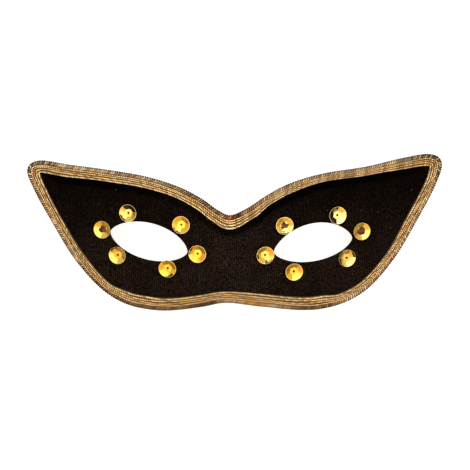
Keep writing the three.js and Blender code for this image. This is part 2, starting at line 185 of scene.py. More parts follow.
@dataclass(frozen=True)
class SequinSpot:
    """A sequin's place at its eye hole, as shares of the eye hole's length, how its film has aged, and
    its painted highlight.

    Args:
        across: Share across from the eye hole's middle.
        up: Share upwards from the eye hole's middle.
        turn: Turn of its facets, in degrees.
        dark: Directions of the facets that have gone dark, in degrees.
        spotted: Directions of the facets with dark spots, in degrees.
        pale: How much paler its film is, as a painted highlight.
        blot: Size of the glue blot on its flat, as a share of the flat, or 0 for none.
    """

    across: float
    up: float
    turn: float
    dark: tuple[float, ...] = ()
    spotted: tuple[float, ...] = ()
    pale: float = 0.0
    blot: float = 0.0


@dataclass(frozen=True)
class EyeHole:
    """An eye hole, with the sequins about it.

    Args:
        side: The half of the mask that it is in, as seen from the front.
        outward: -1 where outwards is to the left, and 1 where it is to the right.
        across: Its middle's place, as a share of the form's half width.
        up: Its middle's place, as a share of the form's half height.
        tilt: How far its outer corner is turned up, in degrees.
        upper: Depth of its upper lid, as a share of its length.
        lower: Depth of its lower lid, as a share of its length.
        skew: Over 1 where the upper lid is deepest nearer to the outer corner.
        sequins: Its sequins, clockwise as seen from the front.
    """

    side: str
    outward: int
    across: float
    up: float
    tilt: float
    upper: float
    lower: float
    skew: float
    sequins: tuple[SequinSpot, ...]


EYES = (
    EyeHole(
        side="left",
        outward=-1,
        across=-0.415,
        up=-0.129,
        tilt=15.4,
        upper=0.232,
        lower=0.221,
        skew=1.0,
        sequins=(
            SequinSpot(-0.264, 0.356, 8, dark=(90, 30), spotted=(200,), pale=0.5),
            SequinSpot(0.403, 0.209, 21, spotted=(235,), pale=0.1),
            SequinSpot(0.607, -0.155, 3, spotted=(180,), pale=0.1),
            SequinSpot(0.231, -0.339, 14, spotted=(300,), pale=0.1),
            SequinSpot(-0.399, -0.172, 27, spotted=(120,), pale=0.4),
            SequinSpot(-0.590, 0.150, 17, pale=0.4, blot=1.0),
        ),
    ),
    EyeHole(
        side="right",
        outward=1,
        across=0.38,
        up=-0.168,
        tilt=10.8,
        upper=0.264,
        lower=0.204,
        skew=1.12,
        sequins=(
            SequinSpot(0.311, 0.366, 24, dark=(170, 225), spotted=(120,), pale=1.0),
            SequinSpot(0.616, 0.166, 11, pale=0.6, blot=1.25),
            SequinSpot(0.431, -0.171, 5, spotted=(175, 230, 20), pale=0.8),
            SequinSpot(-0.235, -0.342, 19, pale=0.2),
            SequinSpot(-0.596, -0.133, 29, spotted=(170, 325), pale=0.3),
            SequinSpot(-0.355, 0.236, 2, spotted=(270,), pale=0.6, blot=0.9),
        ),
    ),
)


def mix(first: np.ndarray, second: np.ndarray, share: np.ndarray) -> np.ndarray:
    """Goes from the first value to the second by a share."""
    return first + (second - first) * share


def bell(distance: np.ndarray, reach: float) -> np.ndarray:
    """A soft bump that is 1 at no distance."""
    return np.exp(-((distance / reach) ** 2))


def chunked(rows: np.ndarray) -> list[np.ndarray]:
    """Splits rows into parts of about a chunk."""
    return np.array_split(rows, max(1, len(rows) // CHUNK))


@dataclass(frozen=True)
class MouldedForm:
    """The curved form under the cloth, as heights over a place in the plan.

    Args:
        half_width: Half the width of the face without its braid.
        half_height: Half the height of the face without its braid.
    """

    half_width: float
    half_height: float

    def nose(self, x: np.ndarray, y: np.ndarray) -> np.ndarray:
        """Height of the raised nose, which runs out just below the notch.

        Args:
            x: Places across.
            y: Places upwards.

        Returns:
            The nose's own height at each place.
        """
        down = np.clip((NOSE_START_Y - y) / (NOSE_START_Y + self.half_height), 0, 1)
        half = mix(NOSE_TOP_HALF_WIDTH, NOSE_FOOT_HALF_WIDTH, down)
        share = np.abs(x - NOSE_OFFSET) / half
        return NOSE_HEIGHT * down**NOSE_GROWTH * np.exp(-(share**NOSE_POWER))

    def height(self, x: np.ndarray, y: np.ndarray) -> np.ndarray:
        """Height of the form above its two corners, without its rolled rim.

        Args:
            x: Places across.
            y: Places upwards.

        Returns:
            The height at each place.
        """
        across = np.abs(x) / self.half_width
        upward = y / self.half_height
        arch = ARCH_HEIGHT * (1 - across**ARCH_POWER)
        crown = CROWN_HEIGHT * (1 - across**2) * (1 - upward**2)
        lean = LEAN * (y - CORNER_UP * self.half_height)
        return arch + crown + lean + self.nose(x, y)

    def normal(self, x: np.ndarray, y: np.ndarray) -> np.ndarray:
        """Unit normal of the form.

        Args:
            x: Places across.
            y: Places upwards.

        Returns:
            One row of three numbers for each place.
        """
        step = 0.5 * MM
        slope_x = (self.height(x + step, y) - self.height(x - step, y)) / (2 * step)
        slope_y = (self.height(x, y + step) - self.height(x, y - step)) / (2 * step)
        rows = np.stack([-slope_x, -slope_y, np.ones_like(slope_x)], axis=-1)
        return rows / np.linalg.norm(rows, axis=-1, keepdims=True)

    def upright_wall(self, x: np.ndarray, y: np.ndarray) -> np.ndarray:
        """The wall's thickness measured upright, which is more where the form is steep."""
        return WALL_THICKNESS / self.normal(x, y)[..., 2]


@dataclass
class Rim:
    """The mask's edge as a closed row of stations, clockwise from the notch.

    Args:
        form: The moulded form that the edge belongs to.
        steps: Stations for each knot of the table.
        ahead: How far before and after a station its direction is taken, in knots.
        blur: Distance within which the nearest stations' sizes blend.
        least_gap: Distance from a station that counts as none.
        soft_from: Distance from the edge at which the soft distance starts.
        soft_within: Distance over which it takes over.
        tolerance: How much nearer to the edge a moved point may be than it should.
    """

    form: MouldedForm
    steps: int
    ahead: float = 0.2 / PACKED_STEPS
    blur: float = 0.8 * MM
    least_gap: float = 0.1 * MM
    soft_from: float = 2 * MM
    soft_within: float = 4 * MM
    tolerance: float = 0.05 * MM
    place: np.ndarray = field(init=False)
    along: np.ndarray = field(init=False)
    inward: np.ndarray = field(init=False)
    rests: np.ndarray = field(init=False)
    cover: np.ndarray = field(init=False)
    dip: np.ndarray = field(init=False)
    settle: np.ndarray = field(init=False)

    def __post_init__(self) -> None:
        """Works out every station from the table of knots."""
        turns = np.arange(self.count) / self.steps
        self.place = self.curve(turns)
        along = self.curve(turns + self.ahead) - self.curve(turns - self.ahead)
        self.along = along / np.linalg.norm(along, axis=1, keepdims=True)
        self.inward = np.stack([self.along[:, 1], -self.along[:, 0]], axis=1)
        self.rests = self.eased("rests", turns)
        self.cover = BRAID_COVER_WIDTH * self.eased("cover", turns)
        self.dip = self.eased("dip", turns)
        x, y = self.place.T
        free = BRAID_PROUD + WALL_THICKNESS + self.form.height(x, y)
        resting = BRAID_PROUD + self.form.upright_wall(x, y)
        self.settle = self.rests * (resting - free)

    @property
    def count(self) -> int:
        """How many stations the edge has."""
        return len(RIM) * self.steps

    @property
    def lower_middle(self) -> int:
        """The station in the middle of the lower edge."""
        return LOWER_MIDDLE_KNOT * self.steps

    def curve(self, turns: np.ndarray) -> np.ndarray:
        """Places on the closed centripetal curve through the knots.

        Args:
            turns: Positions along the curve, counted in knots.

        Returns:
            One row of two numbers for each position.
        """
        size = (self.form.half_width, self.form.half_height)
        knots = np.array([(row.across, row.up) for row in RIM]) * size
        knot = np.floor(turns).astype(int)
        share = (turns - knot)[:, None]
        a, b, c, d = (knots[(knot + step) % len(RIM)] for step in (-1, 0, 1, 2))
        first, middle, last = (np.linalg.norm(q - p, axis=1)[:, None] ** 0.5
                               for p, q in ((a, b), (b, c), (c, d)))
        leave = ((b - a) / first - (c - a) / (first + middle) + (c - b) / middle) * middle
        reach = ((c - b) / middle - (d - b) / (middle + last) + (d - c) / last) * middle
        square = -3 * b + 3 * c - 2 * leave - reach
        cube = 2 * b - 2 * c + leave + reach
        return b + share * (leave + share * (square + share * cube))

    def eased(self, column: str, turns: np.ndarray) -> np.ndarray:
        """One column of the table, blended softly between the knots.

        Args:
            column: The column's name.
            turns: Positions along the edge, counted in knots.

        Returns:
            The value at each position.
        """
        values = np.array([getattr(row, column) for row in RIM])
        knot = np.floor(turns).astype(int)
        share = turns - knot
        share = share * share * (3 - 2 * share)
        return mix(values[knot % len(RIM)], values[(knot + 1) % len(RIM)], share)

    def distance(self, points: np.ndarray) -> np.ndarray:
        """How far points of the plan are from the edge.

        Args:
            points: One row of two numbers for each point.

        Returns:
            The shortest distance of each point.
        """
        start = self.place
        span = np.roll(start, -1, axis=0) - start
        square = (span**2).sum(axis=1)
        found = []
        for chunk in chunked(points):
            gap = chunk[:, None, :] - start
            share = np.clip((gap * span).sum(axis=2) / square, 0, 1)
            found.append(np.linalg.norm(gap - share[..., None] * span, axis=2).min(axis=1))
        return np.concatenate(found)

    def soft_distance(self, squares: np.ndarray, exact: np.ndarray) -> np.ndarray:
        """The distance from the edge without a crease where two edges are equally near.

        Args:
            squares: Squared distance of each point from each station.
            exact: The shortest distance of each point.

        Returns:
            The exact distance near the edge, and a soft one further in.
        """
        power = 6
        flat_edge = math.sqrt(math.pi) * math.gamma((power - 1) / 2) / math.gamma(power / 2)
        step = np.linalg.norm(np.roll(self.place, -1, axis=0) - self.place, axis=1)
        total = (step * (squares + self.least_gap**2) ** (-power / 2)).sum(axis=1) / flat_edge
        share = np.clip((exact - self.soft_from) / self.soft_within, 0, 1)
        return mix(exact, total ** (-1 / (power - 1)), share * share * (3 - 2 * share))

    def front(self, points: np.ndarray) -> np.ndarray:
        """Height of the cloth's front face.

        Args:
            points: One row of two numbers for each point.

        Returns:
            The height of each point.
        """
        columns = np.column_stack([self.cover, self.dip, self.settle])
        exact = self.distance(points)
        found = []
        for chunk, near in zip(chunked(points), chunked(exact)):
            squares = ((chunk[:, None, :] - self.place) ** 2).sum(axis=2)
            weight = (squares + self.blur**2) ** -2.0
            cover, dip, settle = (weight @ columns / weight.sum(axis=1, keepdims=True)).T
            distance = self.soft_distance(squares, near)
            valley = -VALLEY_DEPTH * bell(distance - cover - VALLEY_INSET, VALLEY_WIDTH)
            swell = SWELL_HEIGHT * bell(distance - cover - SWELL_INSET, SWELL_WIDTH)
            roll = -EDGE_ROLL_DEPTH * bell(distance, EDGE_ROLL_WIDTH)
            form = self.form.height(chunk[:, 0], chunk[:, 1])
            found.append(form + roll + dip * (valley + swell) + settle * bell(distance, SETTLE_WIDTH))
        return BRAID_PROUD + WALL_THICKNESS + EDGE_ROLL_DEPTH + np.concatenate(found)

    def valley_shade_share(self, points: np.ndarray) -> np.ndarray:
        """How much painted shade the valley beside the braid gives points of the plan.

        Args:
            points: One row of two numbers for each point.

        Returns:
            1 between the braid and the bottom of a full valley, where the painted shade is full, and 0
            away from it.
        """
        squares = (((chunk[:, None, :] - self.place) ** 2).sum(axis=2) for chunk in chunked(points))
        nearest = np.concatenate([table.argmin(axis=1) for table in squares])
        beyond = self.distance(points) - self.cover[nearest] - VALLEY_INSET
        return self.dip[nearest] * bell(np.maximum(0, beyond), VALLEY_WIDTH)

    def inset(self, depth: np.ndarray) -> tuple[np.ndarray, np.ndarray]:
        """The edge moved inwards. Points that would cross at a corner gather in its mitre.

        Args:
            depth: How far each station moves.

        Returns:
            The moved places, and whether each one has its place to itself.
        """
        count = self.count
        places = self.place + self.inward * depth[:, None]
        crossed = self.distance(places) < depth - self.tolerance
        crossed |= np.roll(crossed, 1) | np.roll(crossed, -1)
        for start in np.flatnonzero(crossed & ~np.roll(crossed, 1)):
            run = 1
            while crossed[(start + run) % count]:
                run += 1
            first, last = start - 1, (start + run) % count
            gap = places[last] - places[first]
            ahead, back = self.along[first], self.along[last]
            spread = ahead[0] * back[1] - ahead[1] * back[0]
            share = (gap[0] * back[1] - gap[1] * back[0]) / spread
            members = np.arange(start, start + run) % count
            places[members] = places[first] + ahead * share
            crossed[members[run // 2]] = False
        return places, ~crossed

    def inset_sheet_row(self, depth: np.ndarray) -> np.ndarray:
        """One row of the cloth, at a depth from the edge for each station."""
        return self.seat(self.inset(depth)[0])

    def seat(self, places: np.ndarray, drop: float = 0.0) -> np.ndarray:
        """Lays places of the plan on the face, or lower by a drop."""
        return np.column_stack([places, self.front(places) - drop])

    def packed_middle(self) -> np.ndarray:
        """The middle of the braid's outer edge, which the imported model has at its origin."""
        outer = self.place - self.inward * BRAID_PROUD
        return (outer.min(axis=0) + outer.max(axis=0)) / 2


def add_sheet(mesh: bmesh.types.BMesh, rows: np.ndarray, repeats: tuple[float, float]) -> None:
    """Adds a grid and lays its points on the given rows.

    Args:
        mesh: The mesh that the grid joins.
        rows: Places of the grid's points, by row and then by column.
        repeats: How often the pattern's unit repeats along the columns and over the rows.
    """
    high, wide, _ = rows.shape
    if not mesh.loops.layers.uv:
        mesh.loops.layers.uv.new("surface")
    made = bmesh.ops.create_grid(
        mesh, x_segments=wide - 1, y_segments=high - 1, size=1.0, calc_uvs=True
    )["verts"]
    columns = [round((vert.co.x + 1) / 2 * (wide - 1)) for vert in made]
    lines = [round((vert.co.y + 1) / 2 * (high - 1)) for vert in made]
    for vert, place in zip(made, rows[lines, columns]):
        vert.co = place
    layer = mesh.loops.layers.uv.active
    faces = {face for vert in made for face in vert.link_faces}
    for face in faces:
        for loop in face.loops:
            along, over = loop[layer].uv
            loop[layer].uv = (along * repeats[0], over * repeats[1])


def weld(mesh: bmesh.types.BMesh) -> None:
    """Closes a finished mesh.

    Points that lie together are merged, and faces that are a line or hang on by two sides dropped.

    Args:
        mesh: The mesh, whose sheets already meet edge to edge.
    """
    bmesh.ops.remove_doubles(mesh, verts=mesh.verts[:], dist=WELD_DISTANCE)
    bmesh.ops.dissolve_degenerate(mesh, edges=mesh.edges[:], dist=WELD_DISTANCE)
    flaps = [face for face in mesh.faces if any(edge.is_boundary for edge in face.edges)]
    bmesh.ops.delete(mesh, geom=flaps, context="FACES")


def make_piece(name: str, mesh: bmesh.types.BMesh, shift: Vector) -> bpy.types.Object:
    """Turns a finished bmesh into a smooth object at the origin.

    Args:
        name: The piece's name.
        mesh: The mesh, which is freed.
        shift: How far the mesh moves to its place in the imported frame.

    Returns:
        The new object, linked to the scene.
    """
    bmesh.ops.translate(mesh, verts=mesh.verts[:], vec=shift)
    for face in mesh.faces:
        face.smooth = True
    data = bpy.data.meshes.new(name)
    mesh.to_mesh(data)
    mesh.free()
    piece = bpy.data.objects.new(name, data)
    bpy.context.scene.collection.objects.link(piece)
    return piece


def report(piece: bpy.types.Object) -> None:
    """Logs a piece's name and how many triangles it has."""
    triangles = sum(len(face.vertices) - 2 for face in piece.data.polygons)
    LOG.info("%s: %d triangles", piece.name, triangles)


@dataclass
class ShaderBoard:
    """The nodes of one finish, with short calls for the kinds that finishes share.

    Args:
        name: The finish's name.
    """

    name: str
    material: bpy.types.Material = field(init=False)
    surface: bpy.types.Node = field(init=False)

    def __post_init__(self) -> None:
        """Makes the material with its surface shader."""
        self.material = bpy.data.materials.new(self.name)
        self.material.use_nodes = True
        self.surface = self.material.node_tree.nodes["Principled BSDF"]

    def mark(self, name: str) -> bpy.types.NodeSocket:
        """A number that the piece's mesh carries."""
        return self.node("Attribute", attribute_name=name).outputs["Fac"]

    def node(self, kind: str, **settings: object) -> bpy.types.Node:
        """Adds a node.

        Args:
            kind: The node's type, without its ShaderNode prefix.
            **settings: Properties of the node.

        Returns:
            The new node.
        """
        made = self.material.node_tree.nodes.new("ShaderNode" + kind)
        for key, value in settings.items():
            setattr(made, key, value)
        return made

    def feed(self, socket: bpy.types.NodeSocket, value: object) -> None:
        """Links a socket to another one, or sets its own value.

        Args:
            socket: The input that takes the value.
            value: An output socket, a number, or a row of numbers.
        """
        if isinstance(value, bpy.types.NodeSocket):
            self.material.node_tree.links.new(value, socket)
        elif socket.type == "RGBA":
            socket.default_value = (*value, 1.0)
        else:
            socket.default_value = value

    def dress(self, **inputs: object) -> None:
        """Feeds the surface shader's inputs, whose names are given with underscores for spaces."""
        for key, value in inputs.items():
            self.feed(self.surface.inputs[key.replace("_", " ")], value)

    def math(self, operation: str, first: Value, second: Value = 0.0) -> bpy.types.NodeSocket:
        """Works out one sum.

        Args:
            operation: The Math node's operation.
            first: The first number.
            second: The second number, where the operation has one.

        Returns:
            The result's socket.
        """
        made = self.node("Math", operation=operation)
        self.feed(made.inputs[0], first)
        self.feed(made.inputs[1], second)
        return made.outputs[0]

    def span(self, value: Value, low: float, high: float, start: float = 0.0,
             end: float = 1.0) -> bpy.types.NodeSocket:
        """Maps a number softly from one range to another.

        Args:
            value: The number.
            low: Where the range starts.
            high: Where the range ends.
            start: The result at the range's start.
            end: The result at the range's end.

        Returns:
            The result's socket.
        """
        made = self.node("MapRange", interpolation_type="SMOOTHSTEP")
        for socket, number in zip(made.inputs, (value, low, high, start, end)):
            self.feed(socket, number)
        return made.outputs[0]

    def blend(self, share: Value, first: object, second: object,
              kind: str = "MIX") -> bpy.types.NodeSocket:
        """Mixes two colours.

        Args:
            share: How much of the second colour shows.
            first: The first colour.
            second: The second colour.
            kind: How the colours are mixed.

        Returns:
            The mixed colour's socket.
        """
        made = self.node("Mix", data_type="RGBA", blend_type=kind)
        self.feed(made.inputs[0], share)
        self.feed(made.inputs[6], first)
        self.feed(made.inputs[7], second)
        return made.outputs[2]

    def place(self) -> bpy.types.NodeSocket:
        """The place on the object, in metres."""
        return self.node("TexCoord").outputs["Object"]

    def surface_steps(self) -> tuple[bpy.types.NodeSocket, bpy.types.NodeSocket]:
        """The piece's own map.

        Returns:
            Its two directions.
        """
        parts = self.node("SeparateXYZ")
        self.feed(parts.inputs[0], self.node("UVMap", uv_map="surface").outputs[0])
        return parts.outputs[0], parts.outputs[1]

    def noise(self, vector: Value, scale: float, detail: float = 2.0) -> bpy.types.NodeSocket:
        """A soft random pattern.

        Args:
            vector: The coordinates that it follows.
            scale: How fine it is.
            detail: How many finer layers it has.

        Returns:
            The pattern's strength, about a half on average.
        """
        made = self.node("TexNoise")
        self.feed(made.inputs["Vector"], vector)
        made.inputs["Scale"].default_value = scale
        made.inputs["Detail"].default_value = detail
        return made.outputs[0]

    def random(self, value: Value) -> bpy.types.NodeSocket:
        """A random number that stays the same for the same value.

        Args:
            value: The value that it goes with.

        Returns:
            The number's socket, from 0 to 1.
        """
        made = self.node("TexWhiteNoise", noise_dimensions="1D")
        self.feed(made.inputs["W"], value)
        return made.outputs[0]

    def bump(self, height: Value, distance: float) -> None:
        """Gives the surface a fine relief.

        Args:
            height: The relief, from 0 to 1.
            distance: How deep it is.
        """
        made = self.node("Bump")
        made.inputs["Strength"].default_value = 1.0
        made.inputs["Distance"].default_value = distance
        self.feed(made.inputs["Height"], height)
        self.feed(self.surface.inputs["Normal"], made.outputs[0])


@dataclass(frozen=True)
class RibbedCloth:
    """Warm black ribbed knit with a soft sheen and a little lint, and painted light and shade by place.

    Args:
        rib: Width of one rib.
        stitch: Length of one stitch along a rib.
        thread: Colour of the thread's crests.
        shade: Colour between the ribs.
        dark_above: Height in the plan over which the cloth is darkest, as painted shade.
        pale_below: Height in the plan under which it is palest, as painted light.
        lint: Colour of the lint.
        valley_shade: Factor on the colour in the valley beside the upper braid, as painted shade.
        stitch_lean: How far a stitch leans at the sides of its rib, as a share of its length.
        painted_shade_factor: Factor on the colour where the painted shade is full.
        worn: Factor on the colour where the painted light is full, low down.
        nose_painted_light: What the painted light on the nose adds to that factor.
        nose_core: Half the width within which the nose's painted light is full.
        nose_reach: Half the width over which the nose gets painted light at all.
        patches: Fineness of the worn patches.
        patch_span: What part of the pattern they take, and the factors at its ends.
        grains: Fineness of the nap's grain.
        grain_span: What part of the pattern it takes, and the factors at its ends.
        hairs: Fineness of the fuzz on the threads.
        specks: Fineness of the pattern that the lint is picked from.
        relief: Height of the ribs.
    """

    rib: float = 0.95 * MM
    stitch: float = 0.7 * MM
    thread: Colour = (0.0078, 0.0053, 0.0042)
    shade: Colour = (0.0016, 0.0011, 0.0009)
    dark_above: float = 26 * MM
    pale_below: float = -14 * MM
    lint: Colour = (0.10, 0.09, 0.08)
    valley_shade: float = 0.12
    stitch_lean: float = 1.2
    painted_shade_factor: float = 0.45
    # The factor called worn is painted light: the cloth is paler low down
    worn: float = 1.7
    nose_painted_light: float = 0.45
    nose_core: float = 4 * MM
    nose_reach: float = 24 * MM
    patches: float = 90.0
    patch_span: tuple[float, ...] = (0.25, 0.75, 0.72, 1.3)
    grains: float = 1300.0
    grain_span: tuple[float, ...] = (0.3, 0.7, 0.2, 1.8)
    hairs: float = 2600.0
    specks: float = 520.0
    relief: float = 0.12 * MM

    def material(self) -> bpy.types.Material:
        """Builds the finish. The map's unit is a metre of cloth.

        Returns:
            The material.
        """
        board = ShaderBoard("ribbed_cloth")
        across, up = board.surface_steps()
        wale = board.math("FRACT", board.math("DIVIDE", across, self.rib))
        side = board.math("ABSOLUTE", board.math("SUBTRACT", wale, 0.5))
        lean = board.math("MULTIPLY", side, self.stitch_lean)
        course = board.math("FRACT", board.math("ADD", board.math("DIVIDE", up, self.stitch), lean))
        rib = board.span(side, 0.5, 0.12)
        loop = board.math("SINE", board.math("MULTIPLY", course, math.pi))
        # The node adds its own third number here, which is a half
        height = board.math("MULTIPLY_ADD", loop, 0.5)
        relief = board.math("MULTIPLY", rib, height)
        fuzz = board.noise(board.place(), self.hairs, 3.0)
        colour = board.blend(relief, self.shade, self.thread)
        patch = board.span(board.noise(board.place(), self.patches, 3.0), *self.patch_span)
        grain = board.span(board.noise(board.place(), self.grains, 1.0), *self.grain_span)
        tone_and_painted_light = board.math("MULTIPLY", patch, grain)
        # Painted light and shade: darker near the upper edge, paler low down and on the nose
        tone_and_painted_light = board.math("MULTIPLY", tone_and_painted_light, self.painted_light_by_place(board))
        # Painted shade in the valley beside the upper braid
        painted_valley_shade = board.span(board.mark("valley"), 0.0, 1.0, 1.0, self.valley_shade)
        tone_and_painted_light = board.math("MULTIPLY", tone_and_painted_light, painted_valley_shade)
        colour = board.blend(1.0, colour, tone_and_painted_light, "MULTIPLY")
        colour = board.blend(self.lint_share(board), colour, self.lint)
        board.dress(Base_Color=colour, Roughness=0.92, Sheen_Weight=0.006, Sheen_Roughness=0.45)
        board.dress(Sheen_Tint=(0.75, 0.62, 0.55), Specular_IOR_Level=0.02)
        board.bump(board.math("ADD", relief, board.math("MULTIPLY", fuzz, 0.5)), self.relief)
        return board.material

    def painted_light_by_place(self, board: ShaderBoard) -> bpy.types.NodeSocket:
        """Painted light and shade by place: darkest near the upper edge, palest low down and on the
        nose.

        Args:
            board: The finish that it belongs to.

        Returns:
            A factor on the colour.
        """
        parts = board.node("SeparateXYZ")
        board.feed(parts.inputs[0], board.place())
        height = board.span(
            parts.outputs[1], self.dark_above, self.pale_below, self.painted_shade_factor, self.worn
        )
        aside = board.math("ABSOLUTE", parts.outputs[0])
        nose = board.span(aside, self.nose_reach, self.nose_core, 0.0, self.nose_painted_light)
        return board.math("ADD", height, nose)

    def lint_share(self, board: ShaderBoard) -> bpy.types.NodeSocket:
        """Where small specks of lint lie.

        Args:
            board: The finish that they belong to.

        Returns:
            1 on a speck and 0 elsewhere.
        """
        cells = board.node("TexVoronoi")
        board.feed(cells.inputs["Vector"], board.place())
        cells.inputs["Scale"].default_value = self.specks
        near = board.span(cells.outputs["Distance"], 0.16, 0.05)
        pick = board.node("SeparateColor")
        board.feed(pick.inputs[0], cells.outputs["Color"])
        chosen = board.span(pick.outputs[0], 0.86, 1.0)
        return board.math("MULTIPLY", near, chosen)


@dataclass(frozen=True)
class Stain:
    """A stretch of braid with a colour of its own, about a place of the plan.

    Args:
        across: Its middle's place across.
        up: Its middle's place upwards.
        reach: How far it reaches.
        colour: The colour of its thread.
        strength: How much of that colour shows.
        hatched: How much of it has black turns between the coloured ones.
    """

    across: float
    up: float
    reach: float
    colour: Colour
    strength: float = 0.8
    hatched: float = 0.0


@dataclass(frozen=True)
class GoldWrap:
    """Metallic thread wound round a cord. The map's unit along the cord is one turn of thread.

    Args:
        name: The finish's name.
        crest: Colour of the thread's crests.
        tints: Two more colours, which drift in along the cord.
        groove: Colour of the painted shade between the turns and down the cord's sides.
        open_share: How much of a turn is groove.
        spread: How much the turns' brightness differs.
        side_shade: How much painted shade darkens the cord's sides.
        crown: Where the cord's crown is, as a share of the way round it.
        stains: Stretches with a colour of their own.
        tint_scales: Fineness of the two tints' drift.
        tint_jump: How much the drift jumps from turn to turn.
        tint_span: What part of the drift takes a tint in.
        side_span: How far from the crown the sides' shade starts, and where it is full.
        strands: Fine strands side by side in one turn of thread.
        strand_relief: Height of the strands.
        roughness: Roughness between the strands and on them.
    """

    name: str
    crest: Colour
    tints: tuple[Colour, Colour]
    groove: Colour
    open_share: float = 0.3
    spread: float = 0.5
    side_shade: float = 0.4
    crown: float = 0.25
    stains: tuple[Stain, ...] = ()
    tint_scales: tuple[float, float] = (75.0, 110.0)
    tint_jump: float = 0.25
    tint_span: tuple[float, float] = (0.56, 0.80)
    side_span: tuple[float, float] = (0.10, 0.22)
    strands: int = 5
    strand_relief: float = 0.015 * MM
    roughness: tuple[float, float] = (0.32, 0.5)

    def material(self) -> bpy.types.Material:
        """Builds the finish.

        Returns:
            The material.
        """
        board = ShaderBoard(self.name)
        along, over = board.surface_steps()
        turn = board.math("ROUND", along)
        off = board.math("ABSOLUTE", board.math("SUBTRACT", along, turn))
        # Away from a turn's crest the groove colour comes in, as painted shade between the turns
        crest = board.span(off, 0.5, 0.5 - self.open_share)
        place = board.place()
        thread = self.crest
        for scale, tint in zip(self.tint_scales, self.tints):
            jump = board.math("MULTIPLY", board.random(turn), self.tint_jump)
            drift = board.math("ADD", board.noise(place, scale, 2.0), jump)
            thread = board.blend(board.span(drift, *self.tint_span), thread, tint)
        for stain in self.stains:
            thread = self.stained(board, place, turn, thread, stain)
        # Another draw for the same turn
        draw = board.random(board.math("ADD", turn, 0.37))
        light = board.span(draw, 0.0, 1.0, 1.0 - self.spread / 2, 1.0 + self.spread / 2)
        thread = board.blend(1.0, thread, light, "MULTIPLY")
        # Painted shade down the cord's sides, away from its crown
        side = board.math("ABSOLUTE", board.math("SUBTRACT", over, self.crown))
        shade = board.span(side, *self.side_span, 0.0, self.side_shade)
        thread = board.blend(shade, thread, self.groove)
        board.dress(Base_Color=board.blend(crest, self.groove, thread), Metallic=0.55)
        fine = board.math("SINE", board.math("MULTIPLY", along, 2 * math.pi * self.strands))
        board.dress(Roughness=board.span(fine, -1.0, 1.0, *self.roughness), Specular_IOR_Level=0.2)
        board.bump(board.math("MULTIPLY", fine, 0.5), self.strand_relief)
        return board.material

    @staticmethod
    def stained(board: ShaderBoard, place: Value, turn: Value, thread: object,
                stain: Stain) -> bpy.types.NodeSocket:
        """Colours the thread about a stain.

        Args:
            board: The finish.
            place: The place on the object.
            turn: The turn's number.
            thread: The thread's colour before.
            stain: The stain.

        Returns:
            The thread's colour.
        """
        flat = board.node("VectorMath", operation="MULTIPLY")
        board.feed(flat.inputs[0], place)
        flat.inputs[1].default_value = (1.0, 1.0, 0.0)
        gap = board.node("VectorMath", operation="DISTANCE")
        board.feed(gap.inputs[0], flat.outputs[0])
        gap.inputs[1].default_value = (stain.across, stain.up, 0.0)
        near = board.span(gap.outputs["Value"], stain.reach, stain.reach * 0.6)
        # About every other turn, never evenly
        uneven = board.math("FRACT", board.math("MULTIPLY", turn, 0.382))
        pick = board.span(uneven, 0.48, 0.52)
        black = board.math("MULTIPLY", board.math("MULTIPLY", near, pick), stain.hatched)
        thread = board.blend(board.math("MULTIPLY", near, stain.strength), thread, stain.colour)
        return board.blend(black, thread, BLACK_THREAD)


@dataclass(frozen=True)
class WovenTape:
    """The woven ground between the braid's cords, dark partly as painted shade of the gaps, with
    stitches that show as dots.

    Args:
        colour: Colour of the stitches.
        shade: Colour between the stitches, as painted shade.
        along_step: How fast the weave turns along the tape, for one unit of the map.
        over_step: How fast it turns across the tape.
        relief: Height of the stitches.
    """

    colour: Colour = (0.22, 0.125, 0.045)
    shade: Colour = (0.020, 0.011, 0.004)
    along_step: float = 6.28
    over_step: float = 220.0
    relief: float = 0.03 * MM

    def material(self) -> bpy.types.Material:
        """Builds the finish.

        Returns:
            The material.
        """
        board = ShaderBoard("woven_tape")
        along, over = board.surface_steps()
        length = board.math("SINE", board.math("MULTIPLY", along, self.along_step))
        width = board.math("SINE", board.math("MULTIPLY", over, self.over_step))
        weave = board.math("MULTIPLY", length, width)
        board.dress(Base_Color=board.blend(board.span(weave, -0.6, 0.8), self.shade, self.colour))
        board.dress(Metallic=0.3, Roughness=0.6)
        board.bump(weave, self.relief)
        return board.material


